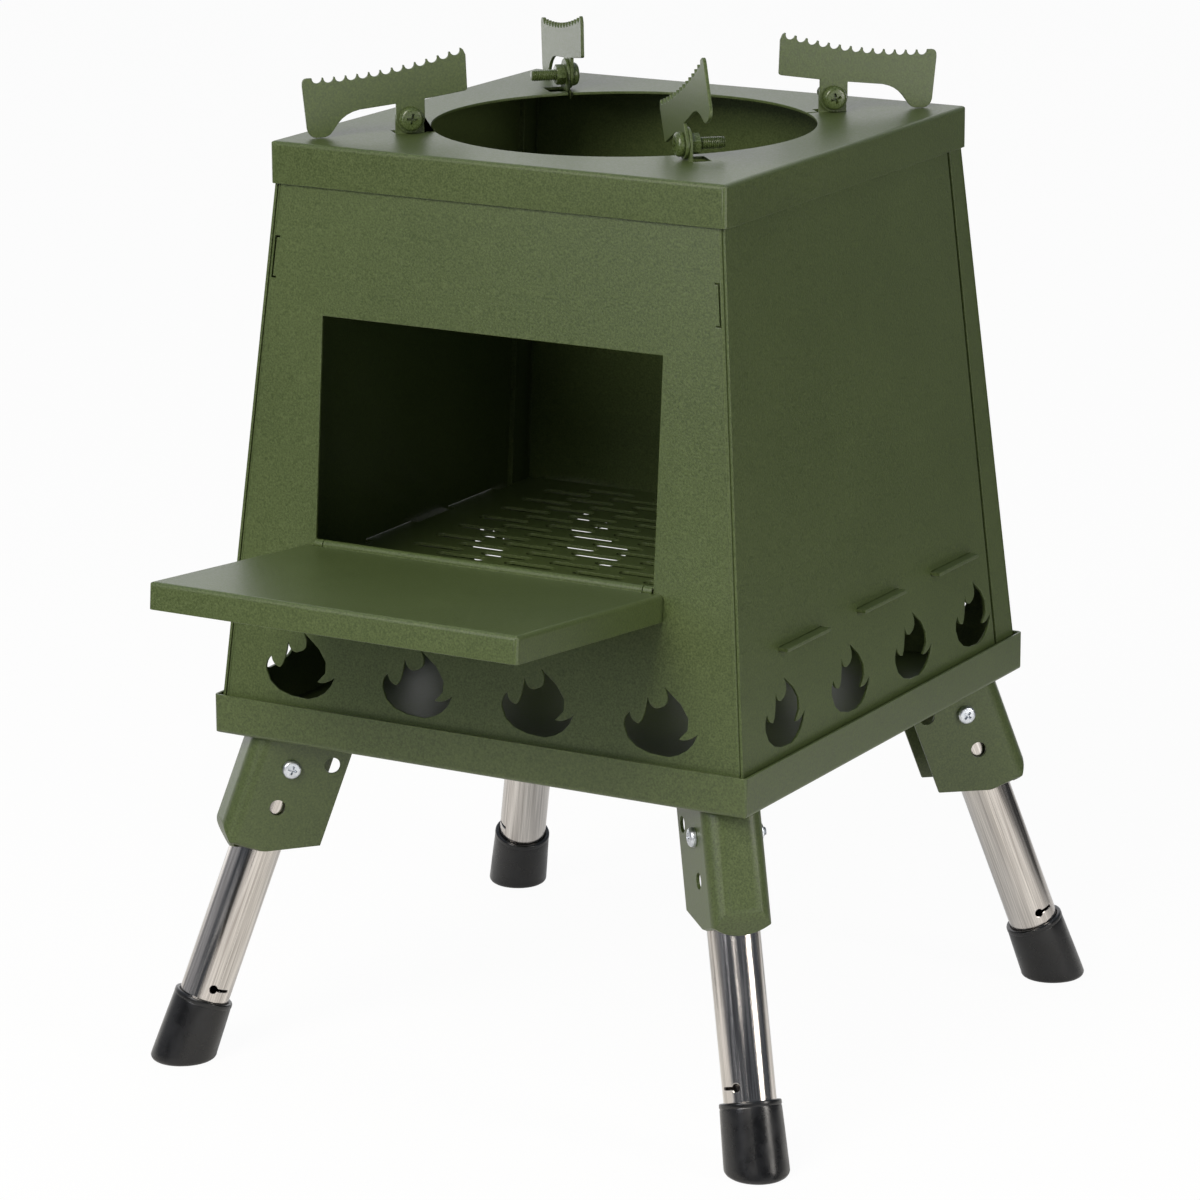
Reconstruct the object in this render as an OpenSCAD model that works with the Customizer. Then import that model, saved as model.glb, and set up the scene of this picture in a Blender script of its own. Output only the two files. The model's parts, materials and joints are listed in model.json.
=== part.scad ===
// Folding camping stove: a square, tapered sheet-steel firebox on a tray, with four splayed folding legs,
// a drop-down fuel door and four serrated pot supports round the chimney hole.
// The origin is the centre of the base tray's underside. +Z is up, the fuel door faces -Y, +X is to the right.

/* [Top cap] */
// Width of the square top cap, outside
cap_w = 218; // [214:1:224]
// Height of the cap's top face above the tray's underside
cap_top_z = 256.3; // [246:0.1:280]
// Height of the cap's turned-down lip
cap_lip_h = 18; // [12:0.5:24]
// Diameter of the round chimney hole
chimney_d = 165; // [150:1:166]
// Outside radius of the bends in the cap and the tray
pan_bend_r = 2; // [1.6:0.1:2.6]

/* [Base tray] */
// Width of the square base tray, outside
tray_w = 260; // [254:1:270]
// Height of the tray with its upturned rim
tray_h = 17.3; // [12:0.1:19]

/* [Sheet] */
// Thickness of the steel sheet of cap, tray, panels and door
sheet_t = 1.2; // [0.9:0.1:1.4]
// Clearance between panels that lie on each other
panel_gap = 0.15; // [0.05:0.05:0.3]
// Clearance between the tray's rim and the body
tray_gap = 0.2; // [0.1:0.05:0.5]
// Clearance between the cap's lip and the body
cap_gap = 0.1; // [0.05:0.05:0.4]
// Outside radius of the panels' corner bends
bend_r = 1.6; // [1.5:0.1:2.2]

/* [Front panel] */
// Width of the fuel opening
opening_w = 164; // [140:1:166]
// Height of the fuel opening along the sloping panel
opening_h = 99.4; // [80:0.1:108]
// Height of the fuel opening's lower edge along the sloping panel
opening_low = 84.8; // [76:0.1:92]
// Width of the front panel's inner side flanges
front_flange_w = 14; // [10:0.5:16]
// Height of the corner slits that lock the front panel to the side panels
lock_h = 18; // [10:0.5:22]
// Height of the slits' lower end along the panel
lock_low = 198; // [194:1:206]
// Width of the corner slits
lock_w = 0.8; // [0.6:0.1:1.2]
// Length of the short legs of the corner slits
lock_leg = 2.4; // [1.6:0.1:4]

/* [Side and rear panels] */
// Width of the rear panel's side flanges at the foot
rear_flange_low_w = 18; // [14:0.5:20]
// Width of the rear panel's side flanges at the head
rear_flange_top_w = 12; // [10:0.5:14]
// Open seam between a side panel and the rear panel's flange
seam_w = 2.2; // [0.8:0.1:2.4]
// Extra setback of a side panel's tongue behind the rear panel's flange
tongue_drop = 1.2; // [0:0.1:1.4]
// Reach of a side panel's tongue behind the rear panel's flange
tongue_w = 6; // [3:0.5:7]
// Width of the step that sets the tongue back
step_w = 2; // [1.6:0.1:3]
// Setback of a side panel's front edge from the front panel's face
front_setback = 0.4; // [0.2:0.1:1]

/* [Flame cut-outs] */
// Width of one flame
flame_w = 34.6; // [28:0.1:38]
// Height of one flame
flame_h = 28.6; // [22:0.1:32]
// Height of the flames' feet along the panel
flame_low = 19.4; // [19:0.1:22]
// Distance between neighbouring flames
flame_pitch = 58.7; // [50:0.1:60]
// Number of flames on each side
flame_count = 4; // [2:1:4]

/* [Fire grate] */
// Thickness of the grate plate
grate_t = 1.5; // [1:0.1:2.5]
// Height of the grate's top face
grate_z = 62; // [58:0.5:66]
// Gap between the grate plate and the sloping panels' flanges
grate_gap = 0.6; // [0.4:0.1:1.5]
// Width of one grate tab
tab_w = 38.5; // [30:0.5:46]
// Distance between neighbouring tabs
tab_pitch = 70; // [60:1:72]
// Reach of the tabs beyond the side panels
tab_out = 4.2; // [2:0.1:6]
// Number of tabs on each side
tab_count = 3; // [2:1:3]
// Clearance round a tab in its slot
tab_gap = 0.2; // [0.1:0.05:0.4]
// Length of one grate slot
slot_l = 25; // [18:0.5:28]
// Width of one grate slot
slot_w = 5.6; // [4:0.1:6.5]
// Distance between neighbouring slots in a row
slot_pitch = 35; // [33:0.5:40]
// Distance between rows of slots
row_pitch = 9.4; // [8.4:0.1:12]
// Plain border of the grate
grate_border = 7; // [6:0.5:14]

/* [Fuel door] */
// Overlap of the door over each side of the fuel opening
door_overlap = 5; // [4:0.5:8]
// Length of the door from its hinge line to its front edge
door_l = 116.5; // [104:0.5:120]
// Height of the door's turned-down edges
door_lip_h = 11.5; // [8:0.5:14]
// Outside radius of the door's bends
door_bend_r = 2; // [1.6:0.1:2.6]
// Diameter of the hinge wire
wire_d = 2; // [1.8:0.1:2.2]
// Wall of the rolled hinge barrel
barrel_wall = 0.95; // [0.8:0.05:1.2]
// Running clearance of the hinge wire, on the radius
wire_gap = 0.05; // [0.03:0.01:0.08]
// Clearance between the door and the front panel
door_gap = 0.3; // [0.25:0.05:0.5]
// Length of the two fixed hinge knuckles
knuckle_l = 4.2; // [3:0.1:6]

/* [Pot supports] */
// Thickness of a pot support
support_t = 1.5; // [1.2:0.1:2]
// Gap between a pot support and its ear
support_gap = 0.15; // [0.1:0.05:0.3]
// Width of a support's stem and of the ear beside it
ear_w = 12.4; // [11:0.2:12.6]
// Height of the ears above the cap
ear_h = 13.5; // [12.8:0.1:15]
// Height of the supports' pivots above the cap
pivot_h = 6.5; // [6.4:0.1:7.2]
// Strip of cap between the chimney hole and the ears
ear_land = 4.8; // [4:0.1:6]
// Length of the slot that each ear is bent out of
ear_slot_l = 8; // [5:0.5:10]
// Width of the slit from that slot to the chimney hole
ear_slit_w = 1; // [0.6:0.1:2]
// Reach of a support outwards from its pivot
arm_out = 46.5; // [42:0.5:50]
// Reach of a support inwards from its pivot
arm_in = 24.5; // [21:0.5:27]
// Height of the serrated edge above the cap, at its outer end
arm_low_h = 25.5; // [24:0.5:30]
// Rise of the serrated edge towards the inner end
arm_rise = 10; // [4:0.5:12]
// Gap between a lowered support's foot and the cap
arm_gap = 0.2; // [0.1:0.05:0.4]
// Depth of the serrations
tooth_h = 2.3; // [1.5:0.1:2.8]
// Number of serrations
tooth_count = 13; // [8:1:15]
// Turn of the front right support, which stands raised
raised_turn = 32; // [0:1:50]

/* [Pot support screws] */
// Thread diameter of the support screws
support_screw_d = 5; // [4:0.5:5]
// Length of the support screws under the head
support_screw_l = 18; // [14:0.5:20]
// Diameter of the support screws' heads
support_head_d = 10.4; // [9:0.1:11]
// Height of the support screws' heads
support_head_h = 3.4; // [2.6:0.1:4]
// Width across flats of the support nuts
support_nut_af = 8; // [7.6:0.1:9]
// Height of the support nuts
support_nut_h = 4; // [3:0.1:5]
// Clearance of a support on its screw, on the radius
support_pin_gap = 0.06; // [0.04:0.01:0.08]

/* [Legs] */
// Distance of the leg pivots from the stove's axis
leg_pivot_r = 153.2; // [152:0.1:156]
// Depth of the leg pivots below the tray
leg_pivot_z = 15.3; // [14.8:0.1:17]
// Splay of the legs from the vertical
splay = 20.3; // [16:0.1:22]
// Length of a leg from its pivot to the middle of its sole
leg_l = 140; // [120:0.5:140]
// Outside diameter of a leg tube
tube_d = 22; // [20:0.5:22]
// Wall of a leg tube
tube_wall = 1; // [0.8:0.1:1.5]
// Length of a leg tube above its pivot
tube_head = 9; // [7:0.5:9]
// Clearance between a leg tube and its bracket's cheeks
cheek_gap = 0.35; // [0.35:0.05:0.6]
// Clearance between a splayed leg tube and the closing plate that stops it
stop_gap = 0.25; // [0.2:0.01:0.3]
// Clearance of a leg tube on its pivot screw, on the radius
leg_pin_gap = 0.05; // [0.03:0.01:0.08]
// Thread diameter of the leg screws
leg_screw_d = 4; // [3:0.5:5]
// Diameter of the leg screws' heads
leg_head_d = 8.3; // [7:0.1:9]
// Height of the leg screws' heads
leg_head_h = 2.8; // [2:0.1:3.4]
// Width across flats of the leg nuts
leg_nut_af = 7; // [6.6:0.1:8]
// Height of the leg nuts
leg_nut_h = 3.2; // [2.5:0.1:4]
// Length of thread beyond the leg nuts
leg_screw_end = 1.6; // [0.5:0.1:4]

/* [Leg brackets] */
// Wall of a leg bracket
bracket_t = 1.5; // [1.2:0.1:1.8]
// Length of a bracket's nose below the pivot
nose_low = 33.8; // [31:0.1:38]
// Distance of the bracket's nose from the tube's axis
nose_off = 19.4; // [18.6:0.1:22]
// Outside radius of the bends beside the nose
nose_r = 8; // [5:0.5:10]
// Drop of the slanted closing plate under the nose, at its middle
nose_foot_h = 8.5; // [6:0.1:11]
// Rise of the closing plate's curved lower edge towards the cheeks
nose_sag = 4.2; // [2:0.1:5]
// Reach of the bend between the nose and its closing plate
nose_turn_l = 4.5; // [3:0.1:5]
// Distance of the cheeks' inner edges from the tube's axis
cheek_off = 23.6; // [22:0.1:25]
// Length of the cheeks' inner edges below the pivot
cheek_low = 29.3; // [26:0.1:34]
// Diameter of the two round holes in each cheek
lock_hole_d = 7; // [5:0.5:8]
// Distance of these holes from the pivot
lock_hole_r = 18.2; // [16:0.1:19]

/* [Rubber feet] */
// Largest diameter of a rubber foot
foot_d = 28; // [26:0.5:28]
// Diameter of a foot's upper rim
foot_rim_d = 25.6; // [25:0.1:27]
// Length of a foot along the leg, at its middle
foot_l = 30; // [26:0.5:36]
// Thickness of rubber under the tube, at its middle
sole_t = 9; // [8:0.5:12]
// Width of the bevel round the sole
sole_bevel = 2.3; // [1.8:0.1:3]
// Fit of a foot on its tube, on the radius
foot_gap = 0.05; // [0.02:0.01:0.1]
// Diameter of the small hole near the foot of each tube
tube_hole_d = 3.6; // [2:0.1:5]
// Distance of that hole above the foot
tube_hole_up = 6; // [4:0.5:10]
// Width of the short slit beside that hole
tube_slit_w = 1.2; // [0.8:0.1:2]

/* [Hidden] */
$fn = 48;

// Finish
green = "#46522f";
steel = "#c4c0ba";
zinc = "#c9ccd0";
black = "#1c1c1d";

// Each corner: its angle in plan, the side of its leg screw's head, the side of its support screw's head,
// the turn of its support, the turn of the small hole in its tube and the side of the slit beside it
front_left_turns = [225, 1, 1, 0, 90, 1];
front_right_turns = [315, -1, -1, raised_turn, -44, -1];
rear_right_turns = [45, -1, -1, 0, -85, 1];
rear_left_turns = [135, 1, -1, 0, 75, 1];
corners = [front_left_turns, front_right_turns, rear_right_turns, rear_left_turns];
quarter = 90;
slit_turn = 40;

// Overrun of every cut
cut = 1;

// Straight stretches in each bend of an outline
bend_steps = 4;
nose_lead_share = 0.1;

// Body
floor_z = sheet_t;
cap_under_z = cap_top_z - sheet_t;
base_half = tray_w / 2 - sheet_t - tray_gap;
lip_z = cap_top_z - cap_lip_h;
lip_half = cap_w / 2 - sheet_t - cap_gap;
lean = atan((base_half - lip_half) / (lip_z - floor_z));
foot_v = -cut;
head_v = (cap_under_z - floor_z) / cos(lean) + cut;
side_stack = sheet_t + panel_gap;
// A corner bend runs on into both of its walls, just under their faces
bend_lap_turn = 30;
bend_inset = 0.02;
bend_wall_share = 0.9;
wall_reach = base_half * cos(lean) + floor_z * sin(lean);

// Fire grate
grate_low = grate_z - grate_t;
grate_edge = base_half - (grate_z - floor_z) * tan(lean);
grate_half = grate_edge - (side_stack + tongue_drop + sheet_t) / cos(lean) - grate_gap;
tab_half = grate_edge + tab_out;
slot_field = 2 * (grate_half - grate_border);
row_count = floor((slot_field - slot_w) / row_pitch) + 1;
slot_count = floor((slot_field - slot_l) / slot_pitch) + 1;

// Fuel door, in the front wall's own frame: across, up the wall and out of the wall
barrel_step_share = 0.08;
barrel_step = sheet_t * barrel_step_share;
barrel_r = wire_d / 2 + wire_gap + barrel_wall;
hinge_up = opening_low + barrel_r + door_gap;
hinge_out = door_gap + barrel_step + sheet_t - barrel_r;
wire_half = opening_w / 2 - door_gap;
barrel_half = opening_w / 2 - knuckle_l - door_gap;
door_half = opening_w / 2 + door_overlap;
door_top = hinge_up - barrel_r + barrel_step + sheet_t;

// Pot supports, with the pivot as their origin
ear_r = chimney_d / 2 + ear_land + ear_w / 2;
ear_near = support_t / 2 + support_gap;
ear_far = ear_near + sheet_t;
support_bore_d = support_screw_d + 2 * support_pin_gap;
arm_h = arm_low_h - pivot_h;
arm_foot_h = pivot_h - arm_gap;
// Places on the arm's edge: shares of its reach, and of its height or of its foot's. A bend runs from the first
// of its three places to the last and leans towards the second.
under_shares = [0.133, 0.345];
shoulder_shares = [[0.473, 0.253], [0.602, 0.19], [0.671, -0.03]];
heel_shares = [[0.723, 0.62], [0.757, 1], [0.822, 1]];
toe_shares = [[0.873, 1], [0.938, 0.98], [0.959, 0.41]];
tip_shares = [[0.998, 0.815], [1.004, 1], [0.953, 1]];
inner_top_shares = [[0.94, 1.49], [0.984, 1.37]];
inner_low_shares = [[1.008, 0.63], [1.012, 0.574], [0.955, 0.563]];
inner_end_shares = [0.253, 0.426];
tooth_start_share = 0.914;
tooth_end_share = 0.9;
tooth_w_share = 0.87;
stem_share = 0.6;
tooth_start = arm_out * tooth_start_share;
tooth_end = -arm_in * tooth_end_share;
tooth_pitch = (tooth_start - tooth_end) / tooth_count;
tooth_w = tooth_pitch * tooth_w_share;
tooth_r = (tooth_w * tooth_w / 4 + tooth_h * tooth_h) / (2 * tooth_h);

// Legs, with the pivot as their origin and the tube along -Z
tube_r = tube_d / 2;
cheek_in = tube_r + cheek_gap;
cheek_out = cheek_in + bracket_t;
tube_end = leg_l - sole_t;
foot_top = leg_l - foot_l;
leg_bore_d = leg_screw_d + 2 * leg_pin_gap;
leg_screw_l = 2 * cheek_out + 2 * leg_pin_gap + leg_nut_h + leg_screw_end;
// The two holes in a cheek lie on the tube's axis, one with the leg down and one with the leg folded
lock_hole_turns = [270, 180 - splay];

// Half of the body's width, outside, at a distance up the sloping wall
function half_at(v) = base_half - v * sin(lean);
// Half of the front and the rear face, up to the corner bends
function front_edge(v) = half_at(v) - side_stack / cos(lean) - bend_r * cos(lean);
function rear_edge(v) = half_at(v) - bend_r * cos(lean);
// Where the front panel's flange starts behind its bend, on the side wall
function flange_edge(v) = rear_edge(v) + side_stack * sin(lean) * tan(lean);
// Width of the rear panel's flange
function rear_flange(v) = rear_flange_low_w - (rear_flange_low_w - rear_flange_top_w) * v / head_v;
// Place of a side panel's rear edge
function side_edge(v) = half_at(v) - rear_flange(v) - seam_w;
// Height of the serrated edge over the pivot
function arm_edge(x) = arm_h + arm_rise * pow((tooth_start - x) / (tooth_start - tooth_end), 2);
// Point on a bend from a to c that leans towards b
function bow(a, b, c, t) = a * (1 - t) * (1 - t) + b * 2 * t * (1 - t) + c * t * t;
// Places along such a bend
function bend(s) = [for (i = [0:bend_steps]) bow(s[0], s[1], s[2], i / bend_steps)];
// Bend from just outside an upright line, down over a corner and along a slope of that fall, in a plane
function nose_bend(x, z, l, fall) =
    bend([[x + l * nose_lead_share, z + l], [x, z], [x - l * cos(fall), z - l * sin(fall)]]);

// Outline of a flame, in shares of its width and height: points on the edge and, between them, the points
// that the edge leans towards
flame_shares = [
    [0.54, 1], [1.09, 0.56], [0.75, 0.28], [0.86, 0.25], [1, 0.38], [0.92, 0.08], [0.62, 0], [0.06, -0.02],
    [0, 0.36], [-0.01, 0.5], [0.07, 0.58], [0.09, 0.44], [0.2, 0.42], [0.28, 0.5], [0.31, 0.83], [0.34, 0.68],
    [0.44, 0.68], [0.66, 0.74]];
flame_steps = 4;
flame_stretches = len(flame_shares) / 2;

module at_corner(c) {
    rotate([0, 0, c[0]]) children();
}

// Frame of one sloping wall, from 0 at the front round to 3 at the left: across, up and out
module wall(k) {
    rotate([0, 0, k * quarter]) translate([0, -base_half, floor_z]) rotate([quarter - lean, 0, 0]) children();
}

// Frame of a leg: its pivot is the origin and the tube runs down -Z
module leg_frame(c) {
    at_corner(c) translate([leg_pivot_r, 0, -leg_pivot_z]) rotate([0, -splay, 0]) children();
}

// Frame of a pot support: its pivot is the origin, outwards along +X
module support_frame(c) {
    at_corner(c) translate([ear_r, 0, cap_top_z + pivot_h]) children();
}

// Upright plate in a corner's own plane, from its outline across and up
module upright(t) {
    translate([0, t / 2, 0]) rotate([quarter, 0, 0]) linear_extrude(t) children();
}

// Part of the body between the tray's floor and the cap
module between_tray_and_cap() {
    intersection() {
        children();
        translate([-tray_w / 2, -tray_w / 2, floor_z]) cube([tray_w, tray_w, cap_under_z - floor_z]);
    }
}

// Strip of sheet up a whole wall, from its edges at the foot and the head and the depth of its outer face
module strip(foot, head, depth, thick) {
    translate([0, 0, -depth - thick]) linear_extrude(thick)
        polygon([[foot[0], foot_v], [foot[1], foot_v], [head[1], head_v], [head[0], head_v]]);
}

// Corner bend of two walls, for the corner's turn in plan, the depth of the side wall's outer face and the
// corner's side in X and Y
module corner_bend(turn, depth, side_x, side_y) {
    bend_tilt = atan(sqrt(2) * tan(lean));
    half_angle = acos(sin(lean) * sin(lean)) / 2 + bend_lap_turn;
    bend_x = (wall_reach - depth - bend_r - floor_z * sin(lean)) / cos(lean);
    bend_y = (wall_reach - bend_r - floor_z * sin(lean)) / cos(lean);
    wedge = 2 * bend_r;
    translate([side_x * bend_x, side_y * bend_y, floor_z])
        rotate([0, bend_tilt, turn])
        translate([0, 0, -2 * cut])
        linear_extrude(head_v + 3 * cut)
        intersection() {
            difference() {
                circle(r = bend_r - bend_inset);
                circle(r = bend_r - sheet_t * bend_wall_share);
            }
            polygon([[0, 0], [-wedge * cos(half_angle), wedge * sin(half_angle)], [-2 * wedge, 0],
                [-wedge * cos(half_angle), -wedge * sin(half_angle)]]);
        }
}

// Rectangle with rounded corners, from its middle
module rounded_rect(w, l, r) {
    square([w - 2 * r, l], center = true);
    square([w, l - 2 * r], center = true);
    for (x = [-1, 1], y = [-1, 1]) translate([x * (w / 2 - r), y * (l / 2 - r)]) circle(r = r);
}

// Rectangle that stands on y = 0, with rounded upper corners
module upper_rounds(w, h, r) {
    translate([-w / 2, 0]) square([w, h - r]);
    translate([r - w / 2, 0]) square([w - 2 * r, h]);
    for (x = [-1, 1]) translate([x * (w / 2 - r), h - r]) circle(r = r);
}

// Rectangle from the origin, with its far upper corner rounded
module outer_round(l, h, r) {
    square([l - r, h]);
    square([l, h - r]);
    translate([l - r, h - r]) circle(r = r);
}

// Block that stands on z = 0, with rounded upright and upper edges
module rounded_block(w, l, h, r) {
    intersection() {
        translate([0, 0, -cut]) linear_extrude(h + 2 * cut) rounded_rect(w, l, r);
        translate([0, l / 2 + cut, 0]) rotate([quarter, 0, 0]) linear_extrude(l + 2 * cut) upper_rounds(w, h, r);
        translate([-w / 2 - cut, 0, 0]) rotate([quarter, 0, quarter]) linear_extrude(w + 2 * cut)
            upper_rounds(l, h, r);
    }
}

// The door's solid block in the wall's frame: it hangs down from its top face, starts at the wall and has
// its upper and outer edges rounded
module door_block(w, l, h, r) {
    intersection() {
        translate([0, -h, 0]) linear_extrude(l) upper_rounds(w, h, r);
        rotate([quarter, 0, 0]) translate([0, 0, -cut]) linear_extrude(h + 2 * cut) upper_rounds(w, l, r);
        rotate([0, -quarter, 0]) translate([0, 0, -w]) linear_extrude(2 * w)
            translate([0, -h]) outer_round(l, h, r);
    }
}

// Flame, from the middle of its foot
module flame() {
    n = 2 * flame_stretches;
    outline = [for (i = [0:flame_stretches - 1], k = [0:flame_steps - 1])
        bow(flame_shares[2 * i], flame_shares[2 * i + 1], flame_shares[(2 * i + 2) % n], k / flame_steps)];
    polygon([for (p = outline) [(p[0] - 1 / 2) * flame_w, p[1] * flame_h]]);
}

module flame_cuts(k) {
    wall(k) for (i = [0:flame_count - 1])
        translate([(i - (flame_count - 1) / 2) * flame_pitch, flame_low, -sheet_t - cut])
        linear_extrude(sheet_t + 2 * cut) flame();
}

// Pan head with a cross recess, standing on z = 0
module pan_head(d, h) {
    rim_share = 0.55;
    recess_share = 0.58;
    recess_w_share = 0.13;
    rim_h = h * rim_share;
    dome_r = (d * d / 4 + (h - rim_h) * (h - rim_h)) / (2 * (h - rim_h));
    difference() {
        intersection() {
            cylinder(d = d, h = h + cut);
            translate([0, 0, h - dome_r]) sphere(r = dome_r);
        }
        for (a = [0, quarter]) rotate([0, 0, a]) translate([-d * recess_share / 2, -d * recess_w_share / 2, h / 3])
            cube([d * recess_share, d * recess_w_share, h]);
    }
}

// Screw along Y through the origin, with its head on one side
module cross_screw(side, seat, d, l, head_d, head_h) {
    rotate([-side * quarter, 0, 0]) {
        translate([0, 0, seat]) pan_head(head_d, head_h);
        translate([0, 0, seat - l]) cylinder(d = d, h = l + head_h / 4);
    }
}

module hex_nut(af, h, bore_d) {
    difference() {
        cylinder(d = af / cos(30), h = h, $fn = 6);
        translate([0, 0, -cut]) cylinder(d = bore_d, h = h + 2 * cut);
    }
}

module base_tray() {
    color(green) difference() {
        translate([0, 0, tray_h]) rotate([180, 0, 0]) rounded_block(tray_w, tray_w, tray_h, pan_bend_r);
        translate([sheet_t - tray_w / 2, sheet_t - tray_w / 2, sheet_t])
            cube([tray_w - 2 * sheet_t, tray_w - 2 * sheet_t, tray_h]);
    }
}

// Locking slit beside the front panel's right bend
module lock_slit() {
    low = lock_low;
    high = lock_low + lock_h;
    translate([0, 0, -sheet_t - cut]) linear_extrude(sheet_t + 2 * cut)
        polygon([
            [front_edge(low) - lock_leg, low], [front_edge(low), low],
            [front_edge(high), high], [front_edge(high) - lock_leg, high],
            [front_edge(high) - lock_leg, high - lock_w], [front_edge(high) - lock_w, high - lock_w],
            [front_edge(low) - lock_w, low + lock_w], [front_edge(low) - lock_leg, low + lock_w]]);
}

// Hinge knuckle in the opening's lower right corner, with its foot on the opening's edge
module hinge_knuckle() {
    difference() {
        union() {
            translate([opening_w / 2 - knuckle_l, hinge_up, hinge_out]) rotate([0, quarter, 0])
                cylinder(r = barrel_r, h = knuckle_l);
            translate([opening_w / 2 - knuckle_l, opening_low - sheet_t, -sheet_t])
                cube([knuckle_l + sheet_t, hinge_up - opening_low + sheet_t, sheet_t]);
        }
        translate([opening_w / 2 - knuckle_l - cut, hinge_up, hinge_out]) rotate([0, quarter, 0])
            cylinder(d = wire_d + 2 * wire_gap, h = knuckle_l + cut);
    }
}

module front_panel() {
    color(green) {
        between_tray_and_cap() difference() {
            union() {
                wall(0) strip([-front_edge(foot_v), front_edge(foot_v)],
                    [-front_edge(head_v), front_edge(head_v)], 0, sheet_t);
                for (side = [-1, 1]) {
                    corner_bend((side + 1) * quarter - side * quarter / 2, side_stack, side, -1);
                    wall(2 - side) mirror([(1 - side) / 2, 0, 0]) strip(
                        [-flange_edge(foot_v), front_flange_w - flange_edge(foot_v)],
                        [-flange_edge(head_v), front_flange_w - flange_edge(head_v)], side_stack, sheet_t);
                }
            }
            wall(0) translate([-opening_w / 2, opening_low, -sheet_t - cut])
                cube([opening_w, opening_h, sheet_t + 2 * cut]);
            wall(0) for (m = [0, 1]) mirror([m, 0, 0]) lock_slit();
            flame_cuts(0);
        }
        wall(0) for (m = [0, 1]) mirror([m, 0, 0]) hinge_knuckle();
    }
}

module rear_panel() {
    color(green) between_tray_and_cap() difference() {
        union() {
            wall(2) strip([-rear_edge(foot_v), rear_edge(foot_v)], [-rear_edge(head_v), rear_edge(head_v)],
                0, sheet_t);
            for (side = [-1, 1]) {
                corner_bend((side + 1) * quarter + side * quarter / 2, 0, side, 1);
                wall(2 - side) mirror([(1 - side) / 2, 0, 0]) strip(
                    [half_at(foot_v) - rear_flange(foot_v), rear_edge(foot_v)],
                    [half_at(head_v) - rear_flange(head_v), rear_edge(head_v)], 0, sheet_t);
            }
        }
        flame_cuts(2);
    }
}

// Side panel on the right for side 1, on the left for side -1
module side_panel(side) {
    k = 2 - side;
    color(green) between_tray_and_cap() difference() {
        wall(k) mirror([(1 - side) / 2, 0, 0]) {
            strip([front_setback - half_at(foot_v), side_edge(foot_v)],
                [front_setback - half_at(head_v), side_edge(head_v)], 0, sheet_t);
            strip([side_edge(foot_v) - step_w, side_edge(foot_v)],
                [side_edge(head_v) - step_w, side_edge(head_v)], 0, side_stack + tongue_drop + sheet_t);
            strip([side_edge(foot_v) - step_w, side_edge(foot_v) + seam_w + tongue_w],
                [side_edge(head_v) - step_w, side_edge(head_v) + seam_w + tongue_w],
                side_stack + tongue_drop, sheet_t);
        }
        flame_cuts(k);
        for (i = [0:tab_count - 1])
            translate([side * tray_w / 4, (i - (tab_count - 1) / 2) * tab_pitch, grate_z - grate_t / 2])
            cube([tray_w / 2, tab_w + 2 * tab_gap, grate_t + 2 * tab_gap], center = true);
    }
}

module left_panel() {
    side_panel(-1);
}

module right_panel() {
    side_panel(1);
}

// Slot with round ends, along X, from its middle
module slot(l, w) {
    square([l - w, w], center = true);
    for (x = [-1, 1]) translate([x * (l - w) / 2, 0]) circle(d = w);
}

module fire_grate() {
    color(green) translate([0, 0, grate_low]) linear_extrude(grate_t) difference() {
        union() {
            square(2 * grate_half, center = true);
            for (i = [0:tab_count - 1]) translate([0, (i - (tab_count - 1) / 2) * tab_pitch])
                square([2 * tab_half, tab_w], center = true);
        }
        for (i = [0:row_count - 1]) {
            shift = i % 2;
            for (j = [0:slot_count - 1 - shift])
                translate([(j - (slot_count - 1 - shift) / 2) * slot_pitch, (i - (row_count - 1) / 2) * row_pitch])
                slot(slot_l, slot_w);
        }
    }
}

// Outline of an ear, from its pivot
module ear_outline() {
    difference() {
        union() {
            translate([-ear_w / 2, -pivot_h - sheet_t]) square([ear_w, ear_h - ear_w / 2 + sheet_t]);
            translate([0, ear_h - ear_w / 2 - pivot_h]) circle(d = ear_w);
        }
        circle(d = support_bore_d);
    }
}

module top_cap() {
    slit_l = ear_land + ear_w / 2;
    color(green) {
        difference() {
            translate([0, 0, cap_top_z - cap_lip_h]) rounded_block(cap_w, cap_w, cap_lip_h, pan_bend_r);
            translate([sheet_t - cap_w / 2, sheet_t - cap_w / 2, cap_top_z - cap_lip_h - cut])
                cube([cap_w - 2 * sheet_t, cap_w - 2 * sheet_t, cap_lip_h - sheet_t + cut]);
            translate([0, 0, cap_under_z - cut]) cylinder(d = chimney_d, h = sheet_t + 2 * cut);
            for (c = corners) at_corner(c) {
                translate([ear_r, -c[2] * (ear_far + ear_slot_l / 2), cap_top_z])
                    cube([ear_w, ear_slot_l, 2 * sheet_t + cut], center = true);
                translate([ear_r - slit_l, -c[2] * (ear_far + ear_slit_w / 2), cap_top_z])
                    cube([2 * slit_l, ear_slit_w, 2 * sheet_t + cut], center = true);
            }
        }
        for (c = corners) support_frame(c) translate([0, -c[2] * (ear_near + sheet_t / 2), 0])
            upright(sheet_t) ear_outline();
    }
}

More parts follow.
